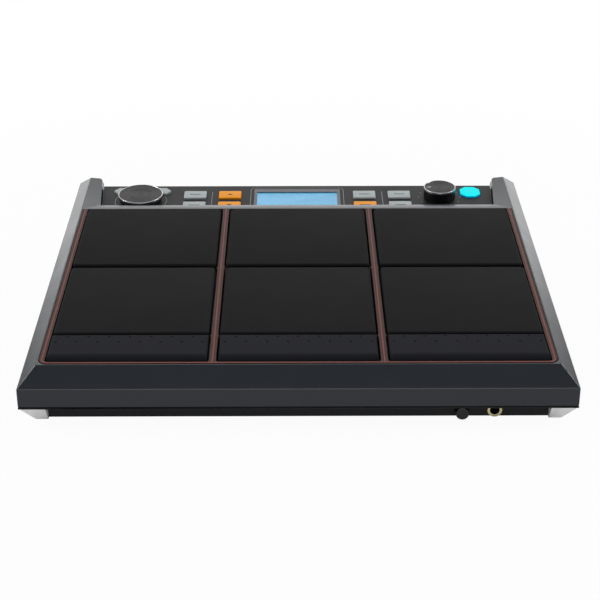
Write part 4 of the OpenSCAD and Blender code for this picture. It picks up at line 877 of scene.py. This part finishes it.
def backlight():
    """Lit display: its face glows, with rows of short blocks, cut from noise along each row, a shade darker;
    below the face its sides are black."""
    material, shader, wire, place = started("backlight_blue", Base_Color=SCREEN_OFF, Roughness=SCREEN_ROUGH,
                                            Emission_Strength=SCREEN_GLOW)
    screen_front = PANEL_V + SCREEN_V - SCREEN_D / 2
    down = (deck_axis(wire, place, deck_back) - screen_front) / ROW_PITCH
    row = wire.math("FLOOR", down)
    across = wire.add("SeparateXYZ", {}, {"Vector": place}, "X") / MM
    inside = down - row
    band = inside.ease(*ROW_LOW) * (1.0 - inside.ease(*ROW_HIGH))
    letter = wire.add("TexNoise", {"noise_dimensions": "1D"},
                      {"W": across + ROW_SHIFT * row, "Scale": LETTER_SCALE, "Detail": 1.0})
    block_share = LETTER_SHARE * band * letter.ease(*LETTER_CUT)
    face = (deck_axis(wire, place, deck_normal) - SCREEN_TOP_W).ease(*SCREEN_FADE)
    face.between(BLACK, block_share.between(SCREEN_BLUE, SCREEN_SHADE)).to(shader, "Emission Color")
    return material


dress("lcd_module", backlight())

# Power button: an eight-sided cap of clear plastic with a cyan light in it, so its top glows and its
# sides fall off to blue. It carries the plain on and off sign.
POWER_U, POWER_V, POWER_EDGE, POWER_LONG = 143.0, 33.8, 0.5, 1.0
POWER_CYAN = (0.0, 0.86, 0.9, 1.0)
POWER_BLUE = (0.0, 0.16, 0.36, 1.0)
POWER_OFF = (0.0, 0.12, 0.14, 1.0)
POWER_SHADE = (0.0, 0.5, 0.56)
POWER_ROUGH, POWER_SHINE, POWER_GLOW = 0.5, 0.05, 0.9
CLOUD_SCALE, CLOUD_MM, GLOW_FADE = 150.0, 0.1, (-0.75, 0.02)
SIGN_R, SIGN_W, SIGN_GLOW = 2.3, 0.55, 0.45
SIGN_ARC, SIGN_BAR = (125.0, 415.0), (0.9, 2.0, 3.1)


def lit_button():
    """Clear plastic lit from below: cyan at its top, blue below the rounded edge."""
    material, shader, wire, place = started("power_glow", Base_Color=POWER_OFF, Roughness=POWER_ROUGH,
                                            Specular_IOR_Level=POWER_SHINE, Emission_Strength=POWER_GLOW)
    height = deck_axis(wire, place, deck_normal) - PANEL_W
    cloud = wire.add("TexNoise", {}, {"Vector": place, "Scale": CLOUD_SCALE, "Detail": 2.0})
    top = (height + CLOUD_MM * cloud).ease(KEY_RISE + GLOW_FADE[0], KEY_RISE + GLOW_FADE[1])
    top.between(POWER_BLUE, POWER_CYAN).to(shader, "Emission Color")
    return material


softened("power_button", "power_button_cap", POWER_EDGE, lit_button(), "power_button_body", POWER_LONG)
power_ink = moulded("power_ink", POWER_SHADE, rough=0.4, grain=0.3, depth=0.002, drift=0.03,
                    Emission_Strength=SIGN_GLOW, Emission_Color=POWER_SHADE + (1.0,))
power_ring = ribbon(arc(SIGN_R, *SIGN_ARC, 40), SIGN_W)
power_bar = ribbon([(0.0, v) for v in SIGN_BAR], SIGN_W)
for mark, form in (("ring", power_ring), ("bar", power_bar)):
    printed(f"power_sign_{mark}", form, POWER_U, POWER_V, power_ink, "power_button_body", KEY_RISE)

# Phones controls under the front lip: a small ribbed black level knob, and a quarter inch socket whose
# neck is closed round by a gold ring that is countersunk at its mouth and lines its bore.
FRONT_Y, FRONT_Z = -150.814, 6.5
LEVEL_X, LEVEL_R, LEVEL_L, LEVEL_BORE, LEVEL_SINK = 107.85, 4.8, 7.0, 3.1, 2.0
LEVEL_RIM, LEVEL_CROWN = 0.4, ((0.25, 0.9), (0.5, 0.3), (1.1, 0.0))
LEVEL_COLUMNS, LEVEL_RIBS, RIB_DEPTH = 144, 24.0, 0.02
SOCKET_X, SOCKET_R, RING_R, NECK_R, NUT_T = 129.75, 3.32, 4.9, 4.2, 2.0
SOCKET_BLACK = (0.01, 0.01, 0.011)
SOCKET_GOLD = (1.0, 0.82, 0.48)
NUT_RISE, NUT_CROWN, NECK_GAP = 0.3, ((0.0, -0.1), (0.1, 0.15)), 0.02
FUNNEL, LINER_L, LINER_IN, LINER_OUT, NUT_LIP = 0.9, 5.0, 0.06, 0.02, 0.35


def at_front(points, x):
    """Points of a turned piece in mm, stood on the tub's front wall at x with its axis to the player."""
    return np.stack([points[..., 0] + x, FRONT_Y - points[..., 2], FRONT_Z + points[..., 1]], axis=-1) * MM


level_top = TURN_GAP + LEVEL_L
level_profile = [(LEVEL_BORE, TURN_GAP + LEVEL_SINK), (LEVEL_BORE, TURN_GAP), (LEVEL_R, TURN_GAP),
                 (LEVEL_R, TURN_GAP + LEVEL_RIM)]
level_profile += [(LEVEL_R - inset, level_top - drop) for inset, drop in LEVEL_CROWN] + [(TURN_AXIS, level_top)]
level_form = turned(level_profile, LEVEL_COLUMNS)
level_rib = np.cos(LEVEL_RIBS * np.linspace(0.0, 2.0 * math.pi, LEVEL_COLUMNS, endpoint=False))
level_form[2:6, :, :2] *= (1.0 - RIB_DEPTH + RIB_DEPTH * level_rib)[:, None]
level_knob = skin("phones_level_knob", at_front(level_form, LEVEL_X), knob_black, "phones_knob_body")
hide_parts("phones_knob")
socket_gold = metal("socket_gold", SOCKET_GOLD, rough=0.24)
nut_top, neck_top = NUT_T + NUT_RISE, NUT_T + NECK_GAP
liner_in, liner_out = SOCKET_R - LINER_IN, SOCKET_R - LINER_OUT
ring_profile = [(NECK_R, 0.0), (RING_R, 0.0)] + [(RING_R - inset, NUT_T + rise) for inset, rise in NUT_CROWN]
ring_profile += [(RING_R - NUT_LIP, nut_top), (SOCKET_R + FUNNEL, nut_top), (liner_in, NUT_T - FUNNEL),
                 (liner_in, -LINER_L), (liner_out, -LINER_L), (liner_out, neck_top), (NECK_R, neck_top)]
gold_ring = hoop("phones_gold_ring", at_front(turned(ring_profile, 96), SOCKET_X), socket_gold)
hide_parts("phones_jack_nut")
socket_black = moulded("socket_black", SOCKET_BLACK, rough=0.45, grain=0.4, depth=0.008)
dress("phones_jack", socket_black)

# Rear sockets: four quarter inch sockets with nickel ring nuts, a square data socket in a pressed
# steel shell, and a round power inlet, all soldered to one board behind the rear wall.
NICKEL = (0.6, 0.59, 0.57)
RING_NUT_EDGE, RING_NUT_LONG = 0.3, 0.2
USB_EDGE, USB_LONG = 0.2, 1.0
nickel_plate = metal("nickel_plate", NICKEL, rough=0.24)
dress("rear_jacks", socket_black)
dress("dc_inlet", socket_black)
softened("rear_jack_nuts", "rear_ring_nuts", RING_NUT_EDGE, nickel_plate, long=RING_NUT_LONG)
softened("usb_socket", "data_socket_shell", USB_EDGE, nickel_plate, long=USB_LONG)
